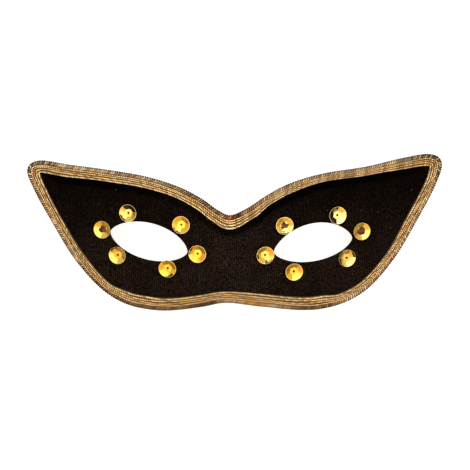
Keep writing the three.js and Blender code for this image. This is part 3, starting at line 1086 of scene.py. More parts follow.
@dataclass(frozen=True)
class MetalFilm:
    """Glossy metallised film, paler along its rim, paler as a painted highlight or gone dark where its
    marks say so.

    Args:
        gold: The film's colour.
        orange: A deeper colour that drifts in.
        pale_highlight: Its paler colour, a painted highlight, where its marks say so.
        rim: Colour of the fine lip along the rim.
        dark: Its colour where the metal is gone.
        drift: Fineness of the two colours' drift.
        spots: Fineness of the spots.
        spot_size: How much the spots count where the film is marked.
        rim_wear: How much more it has worn towards the rim.
        lip_span: Where the lip starts and is full, in diameters from the middle.
        dents: Fineness of the soft dents.
        dent_depth: Depth of the dents.
        haze: Fineness of the haze, which changes the roughness.
    """

    gold: Colour = (0.86, 0.60, 0.045)
    orange: Colour = (0.88, 0.45, 0.015)
    pale_highlight: Colour = (0.86, 0.76, 0.26)
    rim: Colour = (0.82, 0.66, 0.34)
    dark: Colour = (0.026, 0.012, 0.002)
    drift: float = 160.0
    spots: float = 600.0
    spot_size: float = 0.7
    rim_wear: float = 1.4
    lip_span: tuple[float, float] = (0.475, 0.492)
    dents: float = 420.0
    dent_depth: float = 0.05 * MM
    haze: float = 900.0

    def material(self) -> bpy.types.Material:
        """Builds the finish. The map's unit is the sequin's diameter, with its middle at 0.

        Returns:
            The material.
        """
        board = ShaderBoard("metal_film")
        across, up = board.surface_steps()
        square = board.math("ADD", board.math("POWER", across, 2.0), board.math("POWER", up, 2.0))
        radius = board.math("SQRT", square)
        place = board.place()
        deeper = board.span(board.noise(place, self.drift, 2.0), 0.40, 0.62)
        colour = board.blend(deeper, self.gold, self.orange)
        # Painted highlight: a paler, less saturated colour where the mark says so
        colour = board.blend(board.mark("pale"), colour, self.pale_highlight)
        spots = board.math("MULTIPLY", board.noise(place, self.spots, 2.0), self.spot_size)
        near_rim = board.math("MULTIPLY", board.math("SUBTRACT", radius, 0.40), self.rim_wear)
        gone = board.math("ADD", board.mark("worn"), board.math("ADD", spots, near_rim))
        colour = board.blend(board.span(gone, 0.86, 0.94), colour, self.dark)
        colour = board.blend(board.span(radius, *self.lip_span, 0.0, 0.8), colour, self.rim)
        haze = board.span(board.noise(place, self.haze, 2.0), 0.3, 0.7, 0.16, 0.26)
        board.dress(Base_Color=colour, Metallic=1.0, Coat_Weight=0.5, Coat_Roughness=0.22)
        board.dress(Roughness=haze)
        board.bump(board.noise(place, self.dents, 2.0), self.dent_depth)
        return board.material


@dataclass(frozen=True)
class AmberGlue:
    """Dried glue: brown where it lies on the film, nearly black in the hole as painted shade.

    Args:
        colour: Its colour on the film.
        streak: Colour of its darker streaks.
        hole_shade: Its colour under the film, which shows in the hole: painted shade.
        streaks: Fineness of the streaks.
        relief: Height of its lumps.
    """

    colour: Colour = (0.15, 0.040, 0.008)
    streak: Colour = (0.030, 0.008, 0.002)
    hole_shade: Colour = (0.012, 0.006, 0.002)
    streaks: float = 900.0
    relief: float = 0.08 * MM

    def material(self) -> bpy.types.Material:
        """Builds the finish.

        Returns:
            The material.
        """
        board = ShaderBoard("amber_glue")
        drift = board.noise(board.place(), self.streaks, 3.0)
        amber = board.blend(board.span(drift, 0.4, 0.6), self.colour, self.streak)
        # The pad under the film takes the painted shade of the hole; the blot takes the amber
        board.dress(Base_Color=board.blend(board.mark("worn"), self.hole_shade, amber))
        board.dress(Roughness=0.4, Specular_IOR_Level=0.3)
        board.bump(drift, self.relief)
        return board.material


@dataclass
class ClothFace:
    """The cloth-covered face: one thin wall with its rolled edge, valley, nose and eye holes.

    Args:
        form: The moulded form.
        shift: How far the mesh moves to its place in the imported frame.
        steps: Points for each knot of the edge.
        middle_steps: Points down the middle line, between the two halves.
        eye_rows: Rows of points from the braid to an eye hole's lip.
        eye_turn: Width of the turned edge round an eye hole.
        cover_shares: Where rows lie under the braid, as shares of its cover.
        valley_shares: Where rows lie past it, as shares of the valley's distance.
        swell_shares: Where rows lie past that, as shares of the swell's distance.
        lip_shares: Where rows lie on an eye hole's lip, as shares of its width.
        turn_angles: Where rows lie on its turned edge, in degrees.
        map_cells: Places across and up at which the cloth is measured.
        map_reach: How far they reach, as a share of the face.
    """

    form: MouldedForm
    shift: Vector
    steps: int = 8
    middle_steps: int = 28
    eye_rows: int = 22
    eye_turn: float = 0.45 * MM
    cover_shares: tuple[float, ...] = (0.0, 0.12, 0.25, 0.4, 0.6, 0.8, 1.0)
    valley_shares: tuple[float, ...] = (0.3, 0.6, 0.85, 1.15, 1.5)
    swell_shares: tuple[float, ...] = (0.62, 0.75, 0.88, 1.0)
    lip_shares: tuple[float, ...] = (0.3, 0.55, 0.75, 0.9, 1.0)
    turn_angles: tuple[float, ...] = (60, 30, 0, -30, -60)
    map_cells: tuple[int, int] = (121, 61)
    map_reach: float = 1.02
    rim: Rim = field(init=False)
    tree: BVHTree = field(init=False)

    def __post_init__(self) -> None:
        """Makes the stations that the face is built on."""
        self.rim = Rim(self.form, self.steps)

    def depths(self) -> list[np.ndarray]:
        """Where the rows lie from the edge to the swell inside the braid.

        Returns:
            For each row the depth of every station's point.
        """
        cover = self.rim.cover
        under = [cover * share for share in self.cover_shares]
        valley = [cover + VALLEY_INSET * share for share in self.valley_shares]
        swell = [cover + SWELL_INSET * share for share in self.swell_shares]
        return under + valley + swell

    def lid_point(self, eye: EyeHole, lid: Lid, share: np.ndarray) -> np.ndarray:
        """Points on an eye hole's lid.

        Args:
            eye: The eye hole.
            lid: Which of its lids.
            share: How far along the lid from the outer corner to the inner one.

        Returns:
            One row of two numbers for each share.
        """
        along = (1 + np.cos(math.pi * share)) / 2
        peaked = along**eye.skew if lid is Lid.UPPER else along
        depth = EYE_LENGTH * getattr(eye, lid.value) * (4 * peaked * (1 - peaked)) ** LID_POWER
        x = EYE_LENGTH * (along - 0.5)
        y = depth if lid is Lid.UPPER else -depth
        tilt = math.radians(eye.tilt)
        across = eye.across * self.form.half_width
        over = x * math.cos(tilt) - y * math.sin(tilt)
        rise = x * math.sin(tilt) + y * math.cos(tilt)
        return np.column_stack([across + eye.outward * over, eye.up * self.form.half_height + rise])

    def half_loop(self, ring: np.ndarray, eye: EyeHole) -> tuple[np.ndarray, int]:
        """The loop round one half of the face, from its upswept corner clockwise.

        Args:
            ring: The innermost row of the band inside the braid.
            eye: The eye hole in that half.

        Returns:
            The loop's points, and the number of the one in the middle line.
        """
        count, low = self.rim.count, self.rim.lower_middle
        stations = np.arange(0, low + 1) if eye.outward > 0 else np.arange(low, count + 1) % count
        shares = np.arange(1, self.middle_steps)[:, None] / self.middle_steps
        middle = self.rim.seat(mix(ring[low, :2], ring[0, :2], shares))
        loop = np.concatenate([ring[stations], middle if eye.outward > 0 else middle[::-1]])
        corner = int(np.argmax(loop[:, 0] * eye.outward))
        inner = len(loop) - self.middle_steps // 2 - corner
        return np.roll(loop, -corner, axis=0), inner

    def eye_outline(self, loop: np.ndarray, inner: int, eye: EyeHole) -> np.ndarray:
        """The eye hole's outline, one point for each point of the loop.

        Args:
            loop: The loop round that half of the face.
            inner: The loop's point that faces the inner corner.
            eye: The eye hole.

        Returns:
            One row of two numbers for each point of the loop.
        """
        spans = np.linalg.norm(np.roll(loop, -1, axis=0)[:, :2] - loop[:, :2], axis=1)
        length = np.concatenate([[0.0], np.cumsum(spans)])
        total, lengths = length[-1], length[:-1]
        lids = (Lid.LOWER, Lid.UPPER) if eye.outward > 0 else (Lid.UPPER, Lid.LOWER)
        there = self.lid_point(eye, lids[0], lengths[: inner + 1] / lengths[inner])
        back = (total - lengths[inner + 1:]) / (total - lengths[inner])
        return np.concatenate([there, self.lid_point(eye, lids[1], back)])

    def eye_sheet(self, ring: np.ndarray, eye: EyeHole) -> np.ndarray:
        """The wall of one half: its front, the turned edge of its eye hole, and its back.

        Args:
            ring: The innermost row of the band inside the braid.
            eye: The eye hole in that half.

        Returns:
            Places by row and column, with the first column again at the end.
        """
        loop, inner = self.half_loop(ring, eye)
        outline = self.eye_outline(loop, inner, eye)
        gap = np.linalg.norm(outline - loop[:, :2], axis=1)[:, None]
        lip = mix(outline, loop[:, :2], EYE_LIP_WIDTH / gap)
        turn = mix(outline, loop[:, :2], self.eye_turn / gap)
        rows = [loop]
        for share in np.arange(1, self.eye_rows + 1) / self.eye_rows:
            rows.append(self.rim.seat(mix(loop[:, :2], lip, share)))
        for share in self.lip_shares:
            rows.append(self.rim.seat(mix(lip, turn, share), EYE_LIP_DEPTH * share**2))
        back = [self.behind(row) for row in rows]
        rise = (rows[-1][:, 2] - back[-1][:, 2]) / 2
        level = (rows[-1][:, 2] + back[-1][:, 2]) / 2
        edge = []
        for angle in np.radians(self.turn_angles):
            places = mix(turn, outline, math.cos(angle))
            edge.append(np.column_stack([places, level + rise * math.sin(angle)]))
        sheet = np.array(rows + edge + back[::-1])
        return np.concatenate([sheet, sheet[:, :1]], axis=1)

    def behind(self, row: np.ndarray) -> np.ndarray:
        """Goes through the wall.

        Args:
            row: Points on its front, one row of three numbers for each.

        Returns:
            The points on its back.
        """
        back = row.copy()
        back[:, 2] -= self.form.upright_wall(row[:, 0], row[:, 1])
        return back

    def build(self) -> bpy.types.Object:
        """Builds the wall and keeps a tree of it, on which the trims are laid.

        Returns:
            The finished face.
        """
        mesh = bmesh.new()
        front = [self.rim.inset_sheet_row(depth) for depth in self.depths()]
        band = np.array([self.behind(row) for row in front[::-1]] + front)
        add_sheet(mesh, np.concatenate([band, band[:, :1]], axis=1), (1, 1))
        for eye in EYES:
            add_sheet(mesh, self.eye_sheet(front[-1], eye), (1, 1))
        weld(mesh)
        bmesh.ops.recalc_face_normals(mesh, faces=mesh.faces[:])
        self.tree = BVHTree.FromBMesh(mesh)
        piece = make_piece("cloth_face", mesh, self.shift)
        self.lay_cloth(piece)
        return piece

    def lay_cloth(self, piece: bpy.types.Object) -> None:
        """Gives the face a map whose unit is a metre of cloth, and marks the valley's painted shade.

        Args:
            piece: The finished face.
        """
        width, height = self.form.half_width, self.form.half_height
        xs = np.linspace(-width, width, self.map_cells[0]) * self.map_reach
        ys = np.linspace(-height, height, self.map_cells[1]) * self.map_reach
        grid_x, grid_y = np.meshgrid(xs, ys)
        heights = self.form.height(grid_x, grid_y)
        across = self.measured(heights, xs, axis=1)
        upward = self.measured(heights, ys, axis=0)
        count = len(piece.data.vertices)
        places = np.empty(count * 3, np.float32)
        piece.data.vertices.foreach_get("co", places)
        places = places.reshape(-1, 3)
        # Just short of the last cell's end
        last_x, last_y = len(xs) - 1.001, len(ys) - 1.001
        column = np.clip((places[:, 0] - xs[0]) / (xs[1] - xs[0]), 0, last_x)
        line = np.clip((places[:, 1] - ys[0]) / (ys[1] - ys[0]), 0, last_y)
        i, j = column.astype(int), line.astype(int)
        right, over = column - i, line - j
        laid = []
        for table in (across, upward):
            low = mix(table[j, i], table[j, i + 1], right)
            high = mix(table[j + 1, i], table[j + 1, i + 1], right)
            laid.append(mix(low, high, over))
        corners = np.empty(len(piece.data.loops), np.int32)
        piece.data.loops.foreach_get("vertex_index", corners)
        flat = np.column_stack(laid)[corners].astype(np.float32)
        piece.data.uv_layers[0].data.foreach_set("uv", flat.ravel())
        # Painted shade: how far down the valley beside the braid each point lies
        valley = piece.data.attributes.new("valley", "FLOAT", "POINT")
        depths = self.rim.valley_shade_share(places[:, :2] - np.array(self.shift[:2]))
        valley.data.foreach_set("value", depths.astype(np.float32))

    @staticmethod
    def measured(heights: np.ndarray, steps: np.ndarray, axis: int) -> np.ndarray:
        """Lengths over the form from its middle, along one direction of a grid.

        Args:
            heights: The form's heights on the grid.
            steps: The grid's places in that direction.
            axis: The direction's axis in the heights.

        Returns:
            The length at each place of the grid.
        """
        rise = np.diff(heights, axis=axis)
        length = np.cumsum(np.hypot(rise, steps[1] - steps[0]), axis=axis)
        length = np.insert(length, 0, 0.0, axis=axis)
        return length - np.take(length, [len(steps) // 2], axis=axis)

    def touch(self, places: np.ndarray, from_back: bool = False) -> np.ndarray:
        """Heights of the face under or over places of the plan.

        Args:
            places: One row of two numbers for each place.
            from_back: Whether the back of the face is touched.

        Returns:
            The height at each place, with gaps filled from the neighbours.
        """
        start = -1.0 if from_back else 1.0
        way = Vector((0, 0, -start))
        found = np.full(len(places), np.nan)
        for i, (x, y) in enumerate(places):
            hit = self.tree.ray_cast(Vector((x, y, start)), way)[0]
            if hit is not None:
                found[i] = hit.z
        known = np.flatnonzero(~np.isnan(found))
        return np.interp(np.arange(len(found)), known, found[known], period=len(found))


@dataclass(frozen=True)
class Track:
    """The closed line that a cord of the braid follows.

    Args:
        centre: Places on the cloth, one row of three numbers for each sample.
        side: Unit directions across the cord, towards the middle of the mask.
        up: Unit directions away from the cloth.
        half: Half the cord's width at each sample.
        rests: 1 where the mask lies on the surface below.
        cover: The braid's reach on the front.
    """

    centre: np.ndarray
    side: np.ndarray
    up: np.ndarray
    half: np.ndarray
    rests: np.ndarray
    cover: np.ndarray

    @property
    def length(self) -> float:
        """Length of the closed line."""
        spans = np.roll(self.centre, -1, axis=0) - self.centre
        return float(np.linalg.norm(spans, axis=1).sum())

    def sample(self, name: str, shares: np.ndarray) -> np.ndarray:
        """Values of one column at shares of the whole length.

        Args:
            name: The column's name.
            shares: Shares of the length, which may run past either end.

        Returns:
            The values, with the shape of the shares and of the column's rows.
        """
        column = getattr(self, name)
        spans = np.linalg.norm(np.roll(self.centre, -1, axis=0) - self.centre, axis=1)
        known = np.concatenate([[0.0], np.cumsum(spans)])[:-1] / spans.sum()
        if column.ndim == 1:
            return np.interp(shares, known, column, period=1.0)
        return np.stack([np.interp(shares, known, part, period=1.0) for part in column.T], axis=-1)


@dataclass(frozen=True)
class CordRow:
    """A cord that lies along the braid.

    Args:
        name: The piece's name.
        middle: Where its middle lies, as a share of the braid's cover on that face.
        half: Half its width, as a share of the cover.
        rise: Its height above the tape.
        pitch: Length of one turn of thread.
        slant: How far the thread leans over half the width, in turns.
        relief: Depth of the grooves as a share of the section.
        sides: Points round its section.
        finish: The thread's finish.
        on_back: Whether it lies on the back of the mask.
    """

    name: str
    middle: float
    half: float
    rise: float
    pitch: float
    slant: float
    relief: float
    sides: int
    finish: GoldWrap
    on_back: bool = False


# Heights of one turn of thread at its samples, from a crest to the groove and up again
TURN_PROFILE = (1.0, 0.82, 0.0, 0.82)

BLACK_THREAD = (0.010, 0.006, 0.003)
GOLD = (1.0, 0.70, 0.37)
PALE_GOLD = (1.0, 0.80, 0.50)
SILVER_GOLD = (0.86, 0.72, 0.47)
ORANGE_GOLD = (0.92, 0.50, 0.20)
OLIVE_GOLD = (0.82, 0.62, 0.26)
# Painted shade in the cords' grooves and down their sides
BRONZE = (0.075, 0.042, 0.014)
TAUPE = (0.50, 0.37, 0.22)
ROSE = (0.44, 0.26, 0.16)
CREAM = (0.74, 0.58, 0.42)

FRONT_RIB = GoldWrap("gold_rib", GOLD, (ORANGE_GOLD, OLIVE_GOLD), BRONZE, 0.33, 0.95)
BRIGHT_CORD = GoldWrap("bright_cord", PALE_GOLD, (GOLD, ORANGE_GOLD), BRONZE, 0.30, 0.5)
PALE_CORD = GoldWrap("pale_cord", SILVER_GOLD, (OLIVE_GOLD, GOLD), BRONZE, 0.33, 0.95)
EDGE_WRAP = GoldWrap(
    "edge_wrap",
    TAUPE,
    (ROSE, SILVER_GOLD),
    # The black thread's colour is also the roll's painted shade between its turns and on its outer
    # flank
    BLACK_THREAD,
    open_share=0.50,
    spread=0.75,
    # Painted shade over the roll's outer flank, past its crown
    side_shade=0.95,
    crown=0.09,
    stains=(
        Stain(-89 * MM, 31 * MM, 10 * MM, CREAM, 0.4, hatched=0.7),
        Stain(89 * MM, 33 * MM, 11 * MM, CREAM, 0.3, hatched=0.7),
        Stain(58 * MM, 28 * MM, 18 * MM, CREAM, 0.6),
        Stain(-45 * MM, -33 * MM, 32 * MM, (0.20, 0.125, 0.065), 0.75, hatched=0.2),
        Stain(-1 * MM, 7 * MM, 5 * MM, (0.52, 0.13, 0.04), 0.9, hatched=0.8),
        Stain(-16 * MM, 14 * MM, 13 * MM, (0.26, 0.17, 0.09), 0.75, hatched=0.2),
        Stain(10 * MM, -32 * MM, 6.5 * MM, (0.85, 0.46, 0.08), 0.85),
        Stain(-13 * MM, -32.5 * MM, 6 * MM, (0.09, 0.035, 0.035), 0.8, hatched=0.3),
        Stain(36 * MM, -33.5 * MM, 14 * MM, (0.22, 0.10, 0.05), 0.75, hatched=0.2),
    ),
)

CORD_ROWS = (
    CordRow("inner_edge_cord", 0.915, 0.082, 0.66 * MM, 1.1 * MM, 0.45, 0.32, 8, PALE_CORD),
    CordRow("inner_gold_rib", 0.715, 0.086, 0.86 * MM, 1.1 * MM, 0.60, 0.32, 8, FRONT_RIB),
    CordRow("middle_gold_cord", 0.508, 0.068, 0.82 * MM, 1.1 * MM, 0.40, 0.32, 8, FRONT_RIB),
    CordRow("outer_bright_cord", 0.320, 0.066, 0.86 * MM, 1.1 * MM, 0.30, 0.32, 8, BRIGHT_CORD),
    CordRow("back_gold_rib", 0.450, 0.250, 0.88 * MM, 1.0 * MM, 0.60, 0.22, 10, FRONT_RIB, True),
    CordRow("back_edge_cord", 0.850, 0.110, 0.60 * MM, 1.0 * MM, 0.20, 0.24, 8, PALE_CORD, True),
)


@dataclass(frozen=True)
class RollPoint:
    """A point of the edge roll's section.

    Args:
        inward: How far in it lies, as a share of the cover.
        outward: How far out it lies, as a share of the braid's reach past the edge.
        level: Its height, from -1 under the edge to 1 over it.
        skin: 1 on the outside of the roll and 0 against the cloth.
        over: How far the thread leans there, in turns.
    """

    inward: float
    outward: float
    level: float
    skin: float
    over: float


# From the front's inner end round the outside, and back along the cloth
ROLL_SECTION = (
    RollPoint(0.215, 0.0, 0.62, 1.0, 1.0),
    RollPoint(0.17, 0.0, 0.90, 1.0, 0.85),
    RollPoint(0.09, 0.0, 1.0, 1.0, 0.6),
    RollPoint(0.0, 0.12, 1.0, 1.0, 0.4),
    RollPoint(0.0, 0.50, 0.91, 1.0, 0.2),
    RollPoint(0.0, 0.80, 0.66, 1.0, 0.1),
    RollPoint(0.0, 0.96, 0.34, 1.0, 0.0),
    RollPoint(0.0, 1.00, 0.0, 1.0, 0.0),
    RollPoint(0.0, 0.96, -0.34, 1.0, 0.0),
    RollPoint(0.0, 0.80, -0.66, 1.0, -0.1),
    RollPoint(0.0, 0.50, -0.91, 1.0, -0.2),
    RollPoint(0.0, 0.12, -1.0, 1.0, -0.4),
    RollPoint(0.09, 0.0, -1.0, 1.0, -0.6),
    RollPoint(0.14, 0.0, -0.8, 1.0, -0.8),
    RollPoint(0.14, 0.0, -1.0, 0.0, -0.8),
    RollPoint(0.0, 0.0, -1.0, 0.0, -0.4),
    RollPoint(0.0, 0.10, 0.0, 0.0, 0.0),
    RollPoint(0.0, 0.0, 1.0, 0.0, 0.4),
    RollPoint(0.215, 0.0, 1.0, 0.0, 1.0),
    RollPoint(0.215, 0.0, 0.62, 1.0, 1.0),
)


@dataclass
class EdgeBraid:
    """The gold braid folded over the mask's edge: a woven tape with cords laid along it.

    Args:
        form: The moulded form.
        face: The finished face that the braid is laid on.
        shift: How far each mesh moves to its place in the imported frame.
        tape_gap: How far the tape's underside is from the cloth.
        tape_lift: How far its outside is from the cloth.
        tape_steps: Points of the tape for each knot of the edge.
        tape_stitches: Stitches along the whole tape.
        tape_shares: Where the tape's rows lie on the front, as shares of its cover.
        under_shares: The same on the back.
        line_steps: Stations for each knot of the edge, for the cords' lines.
        track_step: Length between two samples of a cord's line.
        rounding: How many times a line's corners are rounded.
        waves: Waves of a cord's line round the mask, and their shift from cord to cord.
        wander: How far a wave moves the line, as a share of the cover.
        floor_gap: How near the back's cords come to the surface below.
        roll_pitch: Length of one turn of thread on the edge roll.
        roll_relief: Depth of the grooves between its turns.
        roll_steps: Samples of one turn.
        roll_lean: How far its thread leans, as a factor on the table's lean.
        roll_crest: Less than 1 for broad crests and narrow grooves.
        roll_lip: How far in from the edge the cloth's faces are measured.
        roll_sink: How much lower than the braid's reach the roll's skin is.
        roll_core: How far the roll's inside is from the cloth.
        roll_floor: How near the roll comes to the surface below.
    """

    form: MouldedForm
    face: ClothFace
    shift: Vector
    tape_gap: float = 0.05 * MM
    tape_lift: float = 0.26 * MM
    tape_steps: int = 8
    tape_stitches: int = 700
    tape_shares: tuple[float, ...] = (1.0, 0.8, 0.6, 0.4, 0.2, 0.05)
    under_shares: tuple[float, ...] = (0.05, 0.5, 1.0)
    line_steps: int = 24
    track_step: float = 0.25 * MM
    rounding: int = 6
    waves: tuple[tuple[int, int], ...] = ((9, 20), (17, 50))
    wander: float = 0.012
    floor_gap: float = 0.02 * MM
    roll_pitch: float = 1.1 * MM
    roll_relief: float = 0.32 * MM
    roll_steps: int = 6
    roll_lean: float = 1.3
    roll_crest: float = 0.6
    roll_lip: float = 0.35 * MM
    roll_sink: float = 0.04 * MM
    roll_core: float = 0.08 * MM
    roll_floor: float = 0.01 * MM
    rim: Rim = field(init=False)

    def __post_init__(self) -> None:
        """Makes the stations that the cords' lines are taken from."""
        self.rim = Rim(self.form, self.line_steps)

    def line(self, depth: np.ndarray) -> dict[str, np.ndarray]:
        """A closed line at a depth from the edge, evenly sampled, its corners a little rounded.

        Args:
            depth: How far in the line lies at each station.

        Returns:
            The places, the inward directions, and the stations' rests and cover along the line.
        """
        places, alone = self.rim.inset(depth)
        places = places[alone]
        spans = np.linalg.norm(np.roll(places, -1, axis=0) - places, axis=1)
        known = np.concatenate([[0.0], np.cumsum(spans)])[:-1]
        total = spans.sum()
        samples = round(total / self.track_step)
        at = np.arange(samples) * total / samples
        columns = (places[:, 0], places[:, 1], self.rim.rests[alone], self.rim.cover[alone])
        x, y, rests, cover = (np.interp(at, known, column, period=total) for column in columns)
        track = np.column_stack([x, y])
        for _ in range(self.rounding):
            track = (np.roll(track, 1, axis=0) + 2 * track + np.roll(track, -1, axis=0)) / 4
        ahead = np.roll(track, -1, axis=0) - np.roll(track, 1, axis=0)
        ahead /= np.linalg.norm(ahead, axis=1, keepdims=True)
        inward = np.column_stack([ahead[:, 1], -ahead[:, 0]])
        return {"places": track, "inward": inward, "rests": rests, "cover": cover}

    def track(self, row: CordRow) -> Track:
        """Lays a cord's line on the cloth.

        Args:
            row: The cord.

        Returns:
            The line with its directions.
        """
        reach = BRAID_BACK_COVER_WIDTH
        cover = np.full(self.rim.count, reach) if row.on_back else self.rim.cover
        turn = 2 * math.pi * np.arange(self.rim.count) / self.rim.count
        wave = sum(np.sin(count * turn + shift * row.middle) for count, shift in self.waves)
        line = self.line(cover * (row.middle + self.wander * wave))
        cover = np.full(len(line["cover"]), reach) if row.on_back else line["cover"]
        half = cover * row.half
        across = line["inward"] * half[:, None]
        heights, inner, outer = (
            self.face.touch(line["places"] + across * step, row.on_back) for step in (0, 1, -1)
        )
        side = np.column_stack([2 * across, inner - outer])
        side /= np.linalg.norm(side, axis=1, keepdims=True)
        centre = np.column_stack([line["places"], heights])
        ahead = np.roll(centre, -1, axis=0) - np.roll(centre, 1, axis=0)
        up = np.cross(side, ahead)
        up /= np.linalg.norm(up, axis=1, keepdims=True)
        up *= np.sign(up[:, 2:]) * (-1 if row.on_back else 1)
        return Track(centre, side, up, half, line["rests"], line["cover"])

    def cord(self, row: CordRow) -> bpy.types.Object:
        """Builds one cord, whose thread stands up in turns.

        Args:
            row: The cord.

        Returns:
            The finished cord.
        """
        track = self.track(row)
        turns = round(track.length / row.pitch)
        steps = len(TURN_PROFILE)
        angle = 2 * math.pi * np.arange(row.sides + 1) / row.sides
        over, up = np.cos(angle)[:, None], np.sin(angle)[:, None]
        along = np.arange(turns * steps + 1)[None, :] / steps
        profile = np.array(TURN_PROFILE)[np.arange(turns * steps + 1) % steps][None, :]
        size = 1 - row.relief * (1 - profile)
        shares = (along + row.slant * over) / turns
        centre, side, lift = (track.sample(name, shares) for name in ("centre", "side", "up"))
        half = track.sample("half", shares) * size * over
        rise = row.rise / 2 * size * up + self.tape_lift + row.rise / 2
        if row.on_back:
            rise = self.rested(track, shares, centre, rise)
        rows = centre + side * half[..., None] + lift * rise[..., None]
        mesh = bmesh.new()
        add_sheet(mesh, rows, (turns, 1))
        return self.closed_piece(row.name, mesh)

    def rested(self, track: Track, shares: np.ndarray, centre: np.ndarray,
               rise: np.ndarray) -> np.ndarray:
        """Lengthens a back cord's section down to the surface that the mask rests on.

        Args:
            track: The cord's line.
            shares: Shares of the line's length.
            centre: Places on the cloth at those shares.
            rise: Heights over the cloth before.

        Returns:
            The heights over the cloth.
        """
        room = centre[..., 2] - self.floor_gap
        scale = mix(1.0, room / rise.max(), track.sample("rests", shares))
        return np.minimum(rise * scale, room)

    def edge_roll(self) -> bpy.types.Object:
        """Builds the outer cord, which is rolled over the edge from front to back.

        Returns:
            The finished roll.
        """
        line = self.line(np.zeros(self.rim.count))
        lip = line["places"] + line["inward"] * self.roll_lip
        front, back = self.face.touch(lip), self.face.touch(lip, True)
        centre = np.column_stack([line["places"], (front + back) / 2])
        side = np.column_stack([line["inward"], np.zeros(len(lip))])
        up = np.tile((0.0, 0.0, 1.0), (len(lip), 1))
        track = Track(centre, side, up, (front - back) / 2, line["rests"], line["cover"])
        turns = round(track.length / self.roll_pitch)
        along = np.arange(turns * self.roll_steps + 1)[None, :] / self.roll_steps
        phase = along - np.floor(along)
        wave = (0.5 + 0.5 * np.cos(2 * math.pi * phase)) ** self.roll_crest
        inner, out, level, skin, over = (
            np.array([getattr(point, name) for point in ROLL_SECTION])[:, None]
            for name in ("inward", "outward", "level", "skin", "over")
        )
        shares = (along - self.roll_lean * over) / turns
        middle, inward, half, cover = (
            track.sample(name, shares) for name in ("centre", "side", "half", "cover")
        )
        sunk = self.roll_relief * (1 - wave) * skin
        across = inner * cover - (out * BRAID_PROUD - sunk * (out > 0))
        proud = BRAID_PROUD - self.roll_sink - sunk
        thick = half + np.where(skin > 0, proud, self.roll_core)
        rows = middle + inward * across[..., None]
        rows[..., 2] = np.maximum(rows[..., 2] + level * thick, self.roll_floor)
        mesh = bmesh.new()
        add_sheet(mesh, rows, (turns, 1))
        return self.closed_piece("edge_roll", mesh)

    def closed_piece(self, name: str, mesh: bmesh.types.BMesh) -> bpy.types.Object:
        """Welds a ring-shaped mesh, turns its faces outwards and makes it a piece.

        Args:
            name: The piece's name.
            mesh: The mesh, which is freed.

        Returns:
            The piece.
        """
        weld(mesh)
        bmesh.ops.recalc_face_normals(mesh, faces=mesh.faces[:])
        return make_piece(name, mesh, self.shift)

    def tape(self) -> bpy.types.Object:
        """Builds the woven tape under the cords, folded over the edge.

        Returns:
            The finished tape.
        """
        rim = Rim(self.form, self.tape_steps)
        rings = self.tape_face(rim, self.tape_lift) + self.tape_face(rim, self.tape_gap)[::-1]
        rows = np.array(rings + rings[:1])
        mesh = bmesh.new()
        rows = np.concatenate([rows, rows[:, :1]], axis=1)
        add_sheet(mesh, rows, (self.tape_stitches, 1))
        return self.closed_piece("woven_tape", mesh)

    def tape_face(self, rim: Rim, lift: float) -> list[np.ndarray]:
        """Rings over one face of the tape, from its end on the front round the edge to the back.

        Args:
            rim: The stations.
            lift: How far the face is from the cloth.

        Returns:
            The rings, each with one row of three numbers for each station.
        """
        edge = rim.front(rim.place)
        under = edge - rim.form.upright_wall(rim.place[:, 0], rim.place[:, 1])
        reach = np.minimum(1.0, BRAID_BACK_COVER_WIDTH / rim.cover)
        front = [rim.inset_sheet_row(rim.cover * share) + (0, 0, lift) for share in self.tape_shares]
        beside = [self.beside(rim, lift, mix(under, edge, share)) for share in (0.9, 0.1)]
        back = [self.under_row(rim, share * reach, lift) for share in self.under_shares]
        return front + beside + back

    @staticmethod
    def beside(rim: Rim, out: float, heights: np.ndarray) -> np.ndarray:
        """A ring of points beside the edge, moved outwards."""
        return np.column_stack([rim.place - rim.inward * out, heights])

    @staticmethod
    def under_row(rim: Rim, shares: np.ndarray, lift: float) -> np.ndarray:
        """A ring of points under the back of the face.

        Args:
            rim: The stations.
            shares: How far in each point lies, as a share of the cover.
            lift: How far below the back it lies.

        Returns:
            One row of three numbers for each station.
        """
        ring = rim.inset_sheet_row(rim.cover * shares)
        wall = rim.form.upright_wall(ring[:, 0], ring[:, 1])
        return ring - np.column_stack([np.zeros_like(ring[:, :2]), wall + lift])

    def build(self) -> list[bpy.types.Object]:
        """Builds and dresses every part of the braid.

        Returns:
            The pieces.
        """
        tape = self.tape()
        tape.data.materials.append(WovenTape().material())
        roll = self.edge_roll()
        roll.data.materials.append(EDGE_WRAP.material())
        pieces = [tape, roll]
        finishes = {row.finish.name: row.finish.material() for row in CORD_ROWS}
        for row in CORD_ROWS:
            cord = self.cord(row)
            cord.data.materials.append(finishes[row.finish.name])
            pieces.append(cord)
        return pieces


